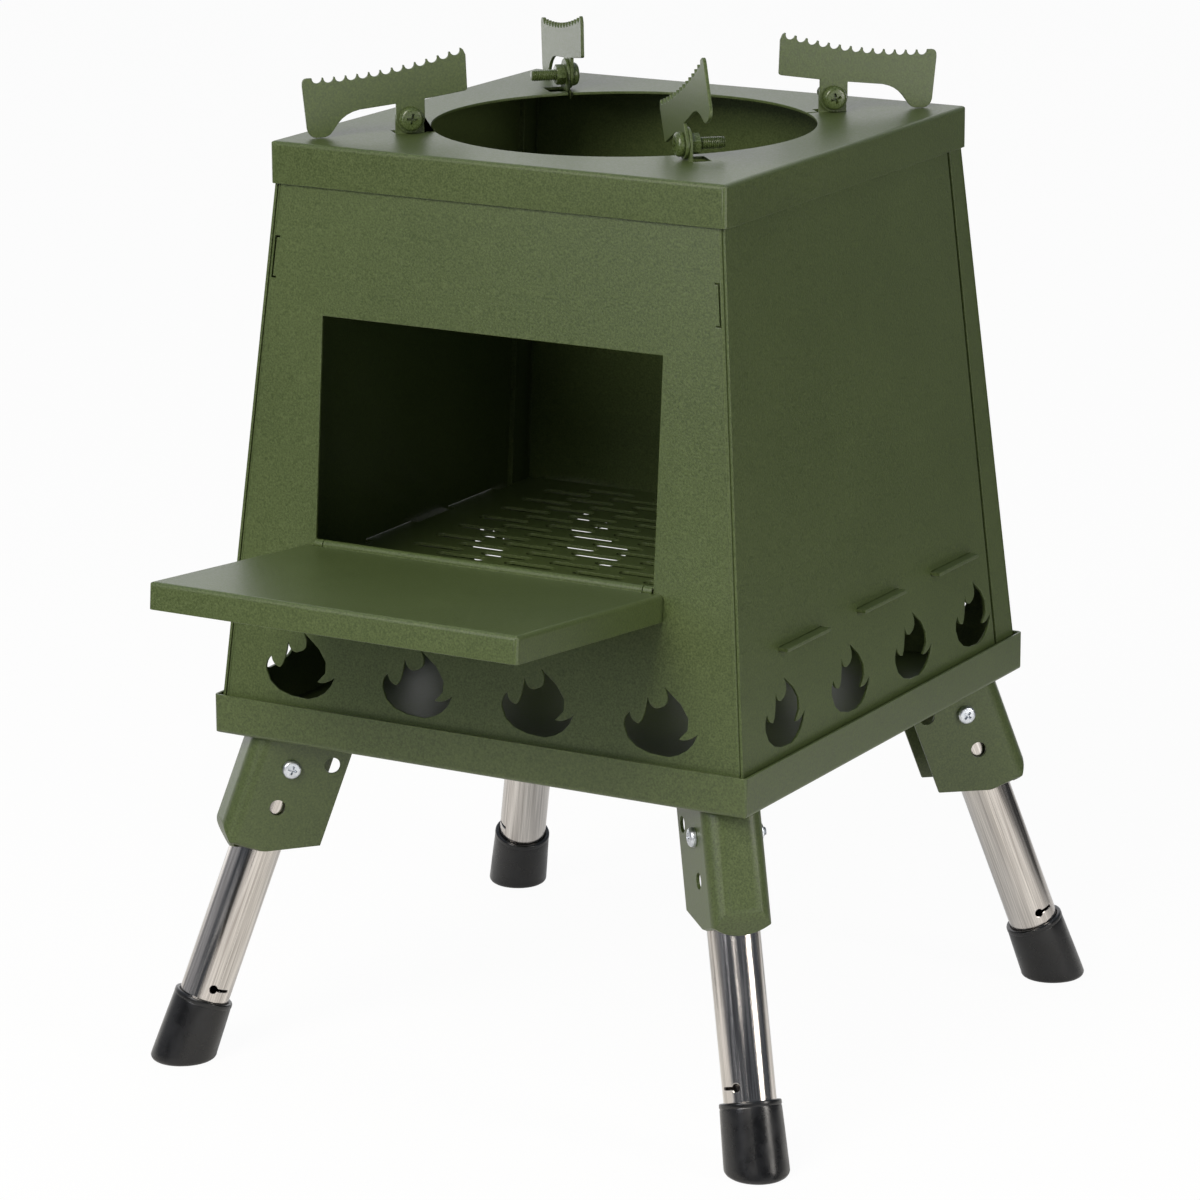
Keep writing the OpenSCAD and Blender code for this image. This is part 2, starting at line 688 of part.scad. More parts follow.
module fuel_door() {
    pan_l = door_l + hinge_out - door_gap;
    notch_half = opening_w / 2 + door_gap;
    notch_reach = hinge_out + barrel_r + door_gap;
    color(green) wall(0) difference() {
        union() {
            difference() {
                translate([0, door_top, door_gap]) door_block(2 * door_half, pan_l, door_lip_h, door_bend_r);
                translate([sheet_t - door_half, door_top - door_lip_h - cut, door_gap - cut])
                    cube([2 * (door_half - sheet_t), door_lip_h - sheet_t + cut, pan_l - sheet_t + cut]);
                translate([-notch_half, door_top - door_lip_h - cut, door_gap - cut])
                    cube([2 * notch_half, door_lip_h + 2 * cut, notch_reach - door_gap + cut]);
            }
            translate([-barrel_half, door_top - sheet_t, hinge_out])
                cube([2 * barrel_half, sheet_t, notch_reach - hinge_out + sheet_t]);
            translate([-barrel_half, hinge_up, hinge_out]) rotate([0, quarter, 0])
                cylinder(r = barrel_r, h = 2 * barrel_half);
        }
        translate([-barrel_half - cut, hinge_up, hinge_out]) rotate([0, quarter, 0])
            cylinder(d = wire_d + 2 * wire_gap, h = 2 * (barrel_half + cut));
    }
}

module door_hinge_wire() {
    color(steel) wall(0) translate([-wire_half, hinge_up, hinge_out]) rotate([0, quarter, 0])
        cylinder(d = wire_d, h = 2 * wire_half);
}

// Cross-section of a leg bracket, from the tube's axis: its cheeks' inner edges, half of its width, its nose
module channel(in, out, off, r) {
    translate([-in, -out]) square([in + off - r, 2 * out]);
    translate([off - r - cut, r - out]) square([r + cut, 2 * (out - r)]);
    for (y = [-1, 1]) translate([off - r, y * (out - r)]) circle(r = r);
}

module leg_bracket(c) {
    nose_z = -nose_low;
    low_z = nose_z - 2 * nose_foot_h;
    head_z = 2 * leg_pivot_z;
    stop_x = tube_r + stop_gap;
    plate_fall = atan((nose_foot_h + cut) / (nose_off - stop_x));
    plate_rise = bracket_t / cos(plate_fall);
    inner_x = nose_off - bracket_t;
    inner_z = nose_z + plate_rise - bracket_t * tan(plate_fall);
    inner_turn_l = nose_turn_l - bracket_t * tan((quarter - plate_fall) / 2);
    sag_r = (cheek_out * cheek_out + nose_sag * nose_sag) / (2 * nose_sag);
    sag_z = nose_z - nose_foot_h + sag_r;
    color(green) intersection() {
        leg_frame(c) difference() {
            intersection() {
                translate([0, 0, low_z]) linear_extrude(head_z - low_z)
                    channel(cheek_off, cheek_out, nose_off, nose_r);
                upright(2 * cheek_out + cut) polygon(concat(
                    [[-cheek_off - cut, head_z + cut], [nose_off + cut, head_z + cut]],
                    nose_bend(nose_off, nose_z, nose_turn_l, plate_fall),
                    [[stop_x, nose_z - nose_foot_h - cut], [-cheek_off, -cheek_low],
                    [-cheek_off - cut, -cheek_low]]));
                translate([-cheek_off - cut, 0, 0]) rotate([quarter, 0, quarter])
                    linear_extrude(cheek_off + nose_off + 2 * cut) union() {
                        translate([0, sag_z]) circle(r = sag_r);
                        translate([-sag_r, sag_z]) square([2 * sag_r, head_z + cut - sag_z]);
                    }
            }
            intersection() {
                translate([0, 0, low_z - cut]) linear_extrude(head_z - low_z + 2 * cut)
                    channel(cheek_off + cut, cheek_in, nose_off - bracket_t, nose_r - bracket_t);
                upright(2 * cheek_out) polygon(concat(
                    [[-cheek_off - 2 * cut, head_z + 2 * cut], [nose_off, head_z + 2 * cut]],
                    nose_bend(inner_x, inner_z, inner_turn_l, plate_fall),
                    [[stop_x, nose_z - nose_foot_h - cut + plate_rise], [stop_x, low_z - 2 * cut],
                    [-cheek_off - 2 * cut, low_z - 2 * cut]]));
            }
            rotate([quarter, 0, 0]) translate([0, 0, -cheek_out - cut])
                cylinder(d = leg_bore_d, h = 2 * (cheek_out + cut));
            for (a = lock_hole_turns) translate([lock_hole_r * cos(a), 0, lock_hole_r * sin(a)])
                rotate([quarter, 0, 0]) translate([0, 0, -cheek_out - cut])
                cylinder(d = lock_hole_d, h = 2 * (cheek_out + cut));
        }
        at_corner(c) translate([0, -tray_w / 2, -2 * leg_l]) cube([tray_w, tray_w, 2 * leg_l]);
    }
}

module leg_bracket_front_left() {
    leg_bracket(front_left_turns);
}

module leg_bracket_front_right() {
    leg_bracket(front_right_turns);
}

module leg_bracket_rear_right() {
    leg_bracket(rear_right_turns);
}

module leg_bracket_rear_left() {
    leg_bracket(rear_left_turns);
}

module leg_tube(c) {
    color(steel) leg_frame(c) difference() {
        translate([0, 0, -tube_end]) cylinder(r = tube_r, h = tube_end + tube_head);
        translate([0, 0, -tube_end - cut]) cylinder(r = tube_r - tube_wall, h = tube_end + tube_head + 2 * cut);
        rotate([quarter, 0, 0]) translate([0, 0, -tube_r - cut]) cylinder(d = leg_bore_d, h = tube_d + 2 * cut);
        translate([0, 0, tube_hole_up - foot_top]) rotate([0, 0, c[4]]) rotate([0, quarter, 0])
            cylinder(d = tube_hole_d, h = tube_d);
        translate([0, 0, tube_hole_up - foot_top - tube_slit_w / 2])
            rotate([0, 0, c[4] + (c[5] - 1) / 2 * slit_turn])
            rotate_extrude(angle = slit_turn) translate([tube_r - tube_wall - cut, 0])
            square([tube_wall + 2 * cut, tube_slit_w]);
    }
}

module leg_tube_front_left() {
    leg_tube(front_left_turns);
}

module leg_tube_front_right() {
    leg_tube(front_right_turns);
}

module leg_tube_rear_right() {
    leg_tube(rear_right_turns);
}

module leg_tube_rear_left() {
    leg_tube(rear_left_turns);
}

module foot(c) {
    sole_r = leg_pivot_r + leg_l * sin(splay);
    sole_z = -leg_pivot_z - leg_l * cos(splay);
    bevel_r = foot_d / 2 - sole_bevel;
    color(black) intersection() {
        leg_frame(c) difference() {
            translate([0, 0, -leg_l - foot_d / 2]) cylinder(d1 = foot_d, d2 = foot_rim_d, h = foot_l + foot_d / 2);
            translate([0, 0, -tube_end]) cylinder(r = tube_r + foot_gap, h = foot_l);
        }
        at_corner(c) translate([sole_r, 0, sole_z]) cylinder(r1 = bevel_r, r2 = bevel_r + 2 * foot_l, h = 2 * foot_l);
    }
}

module foot_front_left() {
    foot(front_left_turns);
}

module foot_front_right() {
    foot(front_right_turns);
}

module foot_rear_right() {
    foot(rear_right_turns);
}

module foot_rear_left() {
    foot(rear_left_turns);
}

module leg_screws() {
    color(zinc) for (c = corners) leg_frame(c)
        cross_screw(c[1], cheek_out + leg_pin_gap, leg_screw_d, leg_screw_l, leg_head_d, leg_head_h);
}

module leg_nuts() {
    color(zinc) for (c = corners) leg_frame(c) rotate([c[1] * quarter, 0, 0])
        translate([0, 0, cheek_out + leg_pin_gap]) hex_nut(leg_nut_af, leg_nut_h, leg_bore_d);
}

module pot_support(c) {
    under = [for (p = concat([under_shares], bend(shoulder_shares))) [p[0] * arm_out, p[1] * arm_h]];
    foot = [for (p = concat(bend(heel_shares), bend(toe_shares))) [p[0] * arm_out, -p[1] * arm_foot_h]];
    outer = [for (p = bend(tip_shares)) [p[0] * arm_out, p[1] * arm_h]];
    serrated = [for (i = [0:tooth_count]) let (x = tooth_start - i * tooth_pitch) [x, arm_edge(x)]];
    inner = [for (p = concat(inner_top_shares, bend(inner_low_shares), [inner_end_shares]))
        [-p[0] * arm_in, p[1] * arm_h]];
    color(green) support_frame(c) rotate([0, -c[3], 0]) upright(support_t) difference() {
        union() {
            polygon(concat(under, foot, outer, serrated, inner));
            translate([-ear_w / 2, 0]) square([ear_w, arm_h * stem_share]);
            circle(d = ear_w);
        }
        for (i = [0:tooth_count - 1]) let (x = tooth_start - (i + 1 / 2) * tooth_pitch)
            translate([x, arm_edge(x) + tooth_r - tooth_h]) circle(r = tooth_r);
        circle(d = support_bore_d);
    }
}

module pot_support_front_left() {
    pot_support(front_left_turns);
}

module pot_support_front_right() {
    pot_support(front_right_turns);
}

module pot_support_rear_right() {
    pot_support(rear_right_turns);
}

module pot_support_rear_left() {
    pot_support(rear_left_turns);
}

module support_screws() {
    color(green) for (c = corners) support_frame(c)
        cross_screw(c[2], ear_near, support_screw_d, support_screw_l, support_head_d, support_head_h);
}

module support_nuts() {
    color(green) for (c = corners) support_frame(c) rotate([c[2] * quarter, 0, 0])
        translate([0, 0, ear_far + support_pin_gap]) hex_nut(support_nut_af, support_nut_h, support_bore_d);
}

base_tray();
front_panel();
rear_panel();
left_panel();
right_panel();
fire_grate();
top_cap();
fuel_door();
door_hinge_wire();
leg_bracket_front_left();
leg_bracket_front_right();
leg_bracket_rear_right();
leg_bracket_rear_left();
leg_tube_front_left();
leg_tube_front_right();
leg_tube_rear_right();
leg_tube_rear_left();
foot_front_left();
foot_front_right();
foot_rear_right();
foot_rear_left();
leg_screws();
leg_nuts();
pot_support_front_left();
pot_support_front_right();
pot_support_rear_right();
pot_support_rear_left();
support_screws();
support_nuts();
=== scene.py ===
import json
import math

import bmesh
import bpy
from mathutils import Matrix, Vector

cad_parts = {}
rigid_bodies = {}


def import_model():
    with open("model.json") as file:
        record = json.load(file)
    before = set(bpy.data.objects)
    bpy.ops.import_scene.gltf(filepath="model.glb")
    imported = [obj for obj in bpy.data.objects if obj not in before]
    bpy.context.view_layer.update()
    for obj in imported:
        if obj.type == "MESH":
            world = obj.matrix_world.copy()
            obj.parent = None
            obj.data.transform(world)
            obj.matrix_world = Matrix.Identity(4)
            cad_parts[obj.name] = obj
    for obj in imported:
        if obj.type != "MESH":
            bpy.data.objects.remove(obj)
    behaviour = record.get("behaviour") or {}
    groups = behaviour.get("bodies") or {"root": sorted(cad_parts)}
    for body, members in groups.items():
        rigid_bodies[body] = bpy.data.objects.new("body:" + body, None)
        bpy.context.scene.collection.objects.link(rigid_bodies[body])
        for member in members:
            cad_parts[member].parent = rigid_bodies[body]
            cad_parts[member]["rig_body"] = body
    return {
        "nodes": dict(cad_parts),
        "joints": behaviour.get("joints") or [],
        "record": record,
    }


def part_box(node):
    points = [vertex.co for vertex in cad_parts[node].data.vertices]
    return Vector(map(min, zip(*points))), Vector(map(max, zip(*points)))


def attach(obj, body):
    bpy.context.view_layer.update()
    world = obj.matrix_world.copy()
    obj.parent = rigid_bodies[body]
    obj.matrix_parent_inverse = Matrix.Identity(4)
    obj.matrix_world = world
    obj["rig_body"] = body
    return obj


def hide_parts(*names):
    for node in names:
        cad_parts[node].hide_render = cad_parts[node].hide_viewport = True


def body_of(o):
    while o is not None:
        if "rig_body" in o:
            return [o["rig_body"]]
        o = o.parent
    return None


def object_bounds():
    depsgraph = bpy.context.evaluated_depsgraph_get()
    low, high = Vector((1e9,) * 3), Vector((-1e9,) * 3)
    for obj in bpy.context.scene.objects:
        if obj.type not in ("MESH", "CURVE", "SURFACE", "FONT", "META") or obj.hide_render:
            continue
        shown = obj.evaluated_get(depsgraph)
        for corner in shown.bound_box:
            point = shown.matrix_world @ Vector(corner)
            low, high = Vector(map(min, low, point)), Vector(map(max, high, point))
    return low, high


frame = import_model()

# Folding camping stove: powder-coated sheet firebox, polished stainless legs, rubber feet, small screws.
# Lengths in the dictionaries are in millimetres unless a note says otherwise.

mm = 0.001
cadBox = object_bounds()
nodes = frame["nodes"]
joints = {joint["name"]: joint for joint in frame["joints"]}
mounts = {mount["name"]: mount for mount in frame["record"]["mounts"]}
corners = ["front_left", "front_right", "rear_right", "rear_left"]


def linearColour(hexColour):
    # sRGB hex to the linear values that the shader wants
    parts = [int(hexColour[i:i + 2], 16) / 255 for i in (1, 3, 5)]
    return [c / 12.92 if c <= 0.04045 else ((c + 0.055) / 1.055) ** 2.4 for c in parts] + [1.0]


def addNode(tree, kind, settings=None, links=None):
    # One node: its attributes and socket values by name or number, then links from other sockets
    node = tree.nodes.new(kind)
    for name, value in (settings or {}).items():
        if isinstance(name, str) and hasattr(node, name) and name not in node.inputs:
            setattr(node, name, value)
        else:
            node.inputs[name].default_value = value
    for name, socket in (links or {}).items():
        tree.links.new(socket, node.inputs[name])
    return node


def newMaterial(name):
    material = bpy.data.materials.new(name)
    material.use_nodes = True
    material.node_tree.nodes.clear()
    return material, material.node_tree


def closeMaterial(tree, shader):
    addNode(tree, "ShaderNodeOutputMaterial", links={"Surface": shader.outputs[0]})


# Camera, at the photograph's viewing angle
cameraLook = {
    "lens": 154.2,
    "picture": 36,           # width of the square picture behind the lens
    "azimuth": 30.10,        # degrees, from the front towards the right side
    "elevation": 15.0,       # degrees above the horizon
    "roll": -0.30,           # degrees
    "place": (1079.3, -1884.6, 627.4),
    "sight": (0.05, 60.0),   # metres, the nearest and farthest that it sees
}


def makeCamera(look):
    data = bpy.data.cameras.new("camera")
    data.lens = look["lens"]
    data.sensor_width = look["picture"]
    data.clip_start, data.clip_end = look["sight"]
    camera = bpy.data.objects.new("camera", data)
    bpy.context.scene.collection.objects.link(camera)
    azimuth, elevation, roll = (math.radians(look[k]) for k in ("azimuth", "elevation", "roll"))
    right = Vector((math.cos(azimuth), math.sin(azimuth), 0))
    ahead = Vector((-math.sin(azimuth) * math.cos(elevation),
                    math.cos(azimuth) * math.cos(elevation), -math.sin(elevation)))
    up = right.cross(ahead)
    rolledRight = right * math.cos(roll) + up * math.sin(roll)
    rolledUp = up * math.cos(roll) - right * math.sin(roll)
    turn = Matrix((rolledRight, rolledUp, -ahead)).transposed().to_4x4()
    camera.matrix_world = Matrix.Translation(Vector(look["place"]) * mm) @ turn
    bpy.context.scene.camera = camera


makeCamera(cameraLook)
print("stage: camera")

# Studio: a dim room with a white sweep behind the stove, a grey wall at its left, a low white card at its
# right, and soft lamps on both sides of the camera. The camera itself sees white behind everything.
studio = {
    "floorReach": 30.0,          # metres
    "floorColour": "#e9e7e3",    # near the stove and towards the sweep
    # painted shade: the floor's colour at its sides, dark where the studio would be unlit
    "floorShadedSideColour": "#3c3b3a",
    "paperReach": (0.45, 1.05),  # metres from the stove where the painted shade on the white paper starts and where it is full
    "floorWhite": 0.96,          # share of plain white that the camera sees in the floor
    "nearSheen": 0.30,           # how bright the floor near the stove glows in the coat, a painted glow seen only in reflections
    "farStrength": 2.20,         # how bright the white paper further off glows in it, a painted glow seen only in reflections
    # A Way is the direction from the stove; From and To are the cosines round it where the thing
    # starts and is at its full shade
    "sideWay": (0.88, -0.475, 0.0),
    "sideFrom": 0.86,
    "sideTo": 0.96,
    "sideTop": 0.26,             # height of the side card's upper edge, as a sine
    "sweepWay": (-0.6, 0.8, 0.0),
    "sweepFrom": 0.50,
    "sweepTo": 0.90,
    "sweepColour": "#fdfdff",
    "sweepShade": 1.25,
    "wallWay": (-0.97, -0.243, 0.0),
    "wallFrom": 0.70,
    "wallTo": 0.93,
    "wallColour": "#a6a8ad",
    "roomColour": "#565b62",
    "roomShade": 1.0,
    "ceilingFrom": 0.45,         # as sines of the height where the ceiling starts and is at its full shade
    "ceilingTo": 0.85,
    "ceilingColour": "#bccbdc",
    "ceilingShade": 0.22,
    "ceilingSheen": 0.60,        # how bright it shines in the coat and the metal
    "behind": "#ffffff",         # what the camera sees
}
lamps = {
    # name: place, aim, width and height in metres, then watts and colour
    "rightSoftbox": ((1.10, -0.10, 0.40), (0, 0, 0.08), 0.22, 0.60, 4.6, "#fffaf3"),
    "middleSoftbox": ((0.62, -1.45, 0.74), (0.1, -0.1, 0), 0.18, 0.45, 1.6, "#fffaf3"),
    "leftSoftbox": ((-0.05, -1.40, 1.20), (0, 0, 0.06), 0.8, 0.9, 27, "#fff9f0"),
    "topSoftbox": ((-0.25, 0.45, 1.9), (0, 0, 0.1), 1.0, 1.0, 3, "#ffffff"),
    "frontCard": ((-0.18, -0.98, 0.36), (0.05, -0.12, 0.20), 0.34, 0.30, 1.5, "#f4f6ff"),
}


def onTheLevel(tree, place):
    # The place or direction without its height
    flat = addNode(tree, "ShaderNodeVectorMath", {"operation": "MULTIPLY", 1: (1.0, 1.0, 0.0)}, {0: place})
    return flat.outputs[0]


def wayShare(tree, place, look, name):
    # 1 where the sweep, wall or card of that name stands, 0 at its sides
    level = addNode(tree, "ShaderNodeVectorMath", {"operation": "NORMALIZE"}, {0: onTheLevel(tree, place)})
    towards = addNode(tree, "ShaderNodeVectorMath", {"operation": "DOT_PRODUCT", 1: look[name + "Way"]},
                      {0: level.outputs[0]})
    share = addNode(tree, "ShaderNodeMapRange",
                    {"From Min": look[name + "From"], "From Max": look[name + "To"],
                     "interpolation_type": "SMOOTHSTEP"}, {"Value": towards.outputs["Value"]})
    return share.outputs[0]


def paintOver(tree, share, under, over):
    # The studio's colour where one thing stands in front of another; each is a socket or a hex colour
    colourSockets = {6: under, 7: over}
    settings = {k: linearColour(colour) for k, colour in colourSockets.items() if isinstance(colour, str)}
    links = {k: colour for k, colour in colourSockets.items() if not isinstance(colour, str)}
    painted = addNode(tree, "ShaderNodeMix", {"data_type": "RGBA", **settings}, {0: share, **links})
    return painted.outputs[2]


def cameraSees(tree):
    # 1 for what the camera sees itself or through glass, 0 for light and reflections
    path = addNode(tree, "ShaderNodeLightPath")
    return addNode(tree, "ShaderNodeMath", {"operation": "MAXIMUM"},
                   {0: path.outputs["Is Camera Ray"], 1: path.outputs["Is Transmission Ray"]}).outputs[0]


def makeFloor(look):
    # White paper with painted shade, darker at the sides where a studio floor would be unlit, so that the
    # coat and the tubes reflect it as in a studio
    reach = look["floorReach"]
    low = cadBox[0].z
    mesh = bpy.data.meshes.new("floor")
    mesh.from_pydata([(-reach, -reach, low), (reach, -reach, low), (reach, reach, low), (-reach, reach, low)],
                     [], [(0, 1, 2, 3)])
    floor = bpy.data.objects.new("floor", mesh)
    bpy.context.scene.collection.objects.link(floor)
    material, tree = newMaterial("matt white studio floor")
    place = addNode(tree, "ShaderNodeTexCoord").outputs["Object"]
    away = addNode(tree, "ShaderNodeVectorMath", {"operation": "LENGTH"}, {0: onTheLevel(tree, place)})
    whiteTo, darkFrom = look["paperReach"]
    near = addNode(tree, "ShaderNodeMapRange",
                   {"From Min": darkFrom, "From Max": whiteTo, "interpolation_type": "SMOOTHSTEP"},
                   {"Value": away.outputs["Value"]})
    paper = addNode(tree, "ShaderNodeMath", {"operation": "MAXIMUM"},
                    {0: near.outputs[0], 1: wayShare(tree, place, look, "sweep")})
    bright = addNode(tree, "ShaderNodeMath", {"operation": "MAXIMUM"},
                     {0: paper.outputs[0], 1: cameraSees(tree)})
    # The floor's colour is painted shade at its sides, dark away from the stove
    colour = paintOver(tree, bright.outputs[0], look["floorShadedSideColour"], look["floorColour"])
    plain = addNode(tree, "ShaderNodeBsdfDiffuse", links={"Color": colour})
    # The paper glows in reflections, painted light where no lamp stands, and shows as plain white for the
    # camera
    shines = addNode(tree, "ShaderNodeLightPath").outputs["Is Glossy Ray"]
    glow = addNode(tree, "ShaderNodeMapRange", {"To Min": 1.0, "To Max": look["farStrength"]},
                   {"Value": shines})
    white = addNode(tree, "ShaderNodeEmission", {"Color": (1, 1, 1, 1)}, {"Strength": glow.outputs[0]})
    far = addNode(tree, "ShaderNodeMath", {"operation": "MAXIMUM"},
                  {0: wayShare(tree, place, look, "sweep"), 1: wayShare(tree, place, look, "side")})
    offStove = addNode(tree, "ShaderNodeMapRange", {"From Min": whiteTo, "From Max": darkFrom},
                       {"Value": away.outputs["Value"]})
    farther = addNode(tree, "ShaderNodeMath", {"operation": "MULTIPLY"},
                      {0: far.outputs[0], 1: offStove.outputs[0]})
    nearShare = look["nearSheen"] / look["farStrength"]
    nearer = addNode(tree, "ShaderNodeMath", {"operation": "MULTIPLY", 1: nearShare}, {0: near.outputs[0]})
    sheen = addNode(tree, "ShaderNodeMath", {"operation": "MAXIMUM"},
                    {0: farther.outputs[0], 1: nearer.outputs[0]})
    sheenShare = addNode(tree, "ShaderNodeMath", {"operation": "MULTIPLY"},
                         {0: sheen.outputs[0], 1: shines})
    share = addNode(tree, "ShaderNodeMath",
                    {"operation": "MULTIPLY_ADD", 1: look["floorWhite"], "use_clamp": True},
                    {0: cameraSees(tree), 2: sheenShare.outputs[0]})
    mixed = addNode(tree, "ShaderNodeMixShader",
                    links={0: share.outputs[0], 1: plain.outputs[0], 2: white.outputs[0]})
    closeMaterial(tree, mixed)
    mesh.materials.append(material)


def makeWorld(look):
    # What the coat and the metal reflect; the world's Generated is the direction of the ray
    world = bpy.data.worlds.new("studio")
    bpy.context.scene.world = world
    world.use_nodes = True
    tree = world.node_tree
    tree.nodes.clear()
    direction = addNode(tree, "ShaderNodeTexCoord").outputs["Generated"]
    height = addNode(tree, "ShaderNodeSeparateXYZ", links={0: direction}).outputs["Z"]
    overhead = addNode(tree, "ShaderNodeMapRange",
                       {"From Min": look["ceilingFrom"], "From Max": look["ceilingTo"],
                        "interpolation_type": "SMOOTHSTEP"}, {"Value": height})
    low = addNode(tree, "ShaderNodeMapRange",
                  {"From Min": look["sideTop"], "From Max": 0.0, "interpolation_type": "SMOOTHSTEP"},
                  {"Value": height})
    card = addNode(tree, "ShaderNodeMath", {"operation": "MULTIPLY"},
                   {0: low.outputs[0], 1: wayShare(tree, direction, look, "side")})
    sweep = addNode(tree, "ShaderNodeMath", {"operation": "MAXIMUM"},
                    {0: wayShare(tree, direction, look, "sweep"), 1: card.outputs[0]}).outputs[0]
    wall = wayShare(tree, direction, look, "wall")
    colour = paintOver(tree, wall, look["roomColour"], look["wallColour"])
    colour = paintOver(tree, sweep, colour, look["sweepColour"])
    colour = paintOver(tree, overhead.outputs[0], colour, look["ceilingColour"])
    colour = paintOver(tree, cameraSees(tree), colour, look["behind"])
    shade = addNode(tree, "ShaderNodeMapRange", {"To Min": look["roomShade"], "To Max": look["sweepShade"]},
                    {"Value": sweep})
    shines = addNode(tree, "ShaderNodeLightPath").outputs["Is Glossy Ray"]
    ceiling = addNode(tree, "ShaderNodeMapRange",
                      {"To Min": look["ceilingShade"], "To Max": look["ceilingSheen"]}, {"Value": shines})
    lifted = addNode(tree, "ShaderNodeMix", {"data_type": "FLOAT"},
                     {0: overhead.outputs[0], 2: shade.outputs[0], 3: ceiling.outputs[0]})
    strength = addNode(tree, "ShaderNodeMix", {"data_type": "FLOAT", 3: 1.0},
                       {0: cameraSees(tree), 2: lifted.outputs[0]})
    white = addNode(tree, "ShaderNodeBackground", links={"Color": colour, "Strength": strength.outputs[0]})
    addNode(tree, "ShaderNodeOutputWorld", links={"Surface": white.outputs[0]})


def makeLamps(table):
    for name, (place, aim, width, height, watts, colour) in table.items():
        data = bpy.data.lights.new(name, "AREA")
        data.shape = "RECTANGLE"
        data.size = width
        data.size_y = height
        data.energy = watts
        data.color = linearColour(colour)[:3]
        lamp = bpy.data.objects.new(name, data)
        bpy.context.scene.collection.objects.link(lamp)
        look = Vector(aim) - Vector(place)
        lamp.matrix_world = Matrix.Translation(place) @ look.to_track_quat("-Z", "Y").to_matrix().to_4x4()


makeFloor(studio)
makeWorld(studio)
makeLamps(lamps)
bpy.context.scene.view_settings.view_transform = "Standard"
print("stage: studio")

# Finishes. A noise lies mostly within noiseSpan, so the tones and the gloss run over that.
noiseSpan = (0.3, 0.7)


def twoTones(tree, noise, span, dark, light):
    # The finish's darker and lighter tone, where the noise is at the ends of the span
    tones = addNode(tree, "ShaderNodeValToRGB", links={"Fac": noise})
    for element, place, colour in zip(tones.color_ramp.elements, span, (dark, light)):
        element.position = place
        element.color = linearColour(colour)
    return tones.outputs["Color"]


def wanderingGloss(tree, noise, span, look):
    # The roughness wanders with the noise, between the finish's two spreads round its own value
    low, high = look["glossSpread"]
    gloss = addNode(tree, "ShaderNodeMapRange",
                    {"From Min": span[0], "From Max": span[1], "To Min": look["roughness"] + low,
                     "To Max": look["roughness"] + high}, {"Value": noise})
    return gloss.outputs[0]


powderCoat = {
    # Polyester powder sprayed on steel and baked: satin, with a soft orange peel and a fine grit.
    # Real grit is 0.2 to 0.4 mm wide, and it is drawn coarser, so that it shows from the camera.
    "deep": "#364220",
    "pale": "#515e35",
    "cloudShare": 0.15,          # how much of the tone follows the wide clouds, the rest follows the grit
    "roughness": 0.40,
    "glossSpread": (-0.05, 0.07),
    "ior": 1.5,
    "peelMm": 1.8,
    "gritMm": 0.80,
    "cloudMm": 60,
    "peelDepthMm": 0.030,
    "gritDepthMm": 0.055,
    "gritStrength": 1.0,
}
screwCoat = {**powderCoat, "roughness": 0.27, "gritStrength": 0.35}    # thinner, smoother and glossier


def makePowderCoat(name, look):
    material, tree = newMaterial(name)
    place = addNode(tree, "ShaderNodeTexCoord").outputs["Object"]
    cloud = addNode(tree, "ShaderNodeTexNoise", {"Scale": 1 / (look["cloudMm"] * mm), "Detail": 3.0},
                    {"Vector": place})
    peel = addNode(tree, "ShaderNodeTexNoise", {"Scale": 1 / (look["peelMm"] * mm), "Detail": 1.0},
                   {"Vector": place})
    fine = addNode(tree, "ShaderNodeTexNoise", {"Scale": 1 / (look["gritMm"] * mm), "Detail": 2.0},
                   {"Vector": place})
    tone = addNode(tree, "ShaderNodeMix", {"data_type": "FLOAT", 0: look["cloudShare"]},
                   {2: fine.outputs["Fac"], 3: cloud.outputs["Fac"]})
    colour = twoTones(tree, tone.outputs[0], noiseSpan, look["deep"], look["pale"])
    gloss = wanderingGloss(tree, fine.outputs["Fac"], noiseSpan, look)
    peelBump = addNode(tree, "ShaderNodeBump", {"Strength": 1.0, "Distance": look["peelDepthMm"] * mm},
                       {"Height": peel.outputs["Fac"]})
    gritBump = addNode(tree, "ShaderNodeBump",
                       {"Strength": look["gritStrength"], "Distance": look["gritDepthMm"] * mm},
                       {"Height": fine.outputs["Fac"], "Normal": peelBump.outputs[0]})
    shader = addNode(tree, "ShaderNodeBsdfPrincipled", {"IOR": look["ior"]},
                     {"Base Color": colour, "Roughness": gloss, "Normal": gritBump.outputs[0]})
    closeMaterial(tree, shader)
    return material


stainless = {
    # Drawn and polished austenitic tube: near mirror, with draw lines and wider streaks along it, and haze.
    # Real draw lines are under 0.1 mm apart, and they are drawn coarser, so that they show.
    "bright": "#ddd8d3",
    "dull": "#a8a29d",
    "hazeSpan": (0.36, 0.60),
    "hazeShare": 0.5,            # how much of the haze follows the streaks, the rest follows the lines
    "roughness": 0.13,
    "glossSpread": (-0.03, 0.13),
    "streakSpan": (0.35, 0.70),
    "tubeRadiusMm": 11,
    "lineMm": 0.32,
    "lineLengthMm": 40,
    "lineDepthMm": 0.020,
    "streakMm": 1.8,
    "streakLengthMm": 60,
    "streakDepthMm": 0.070,
}


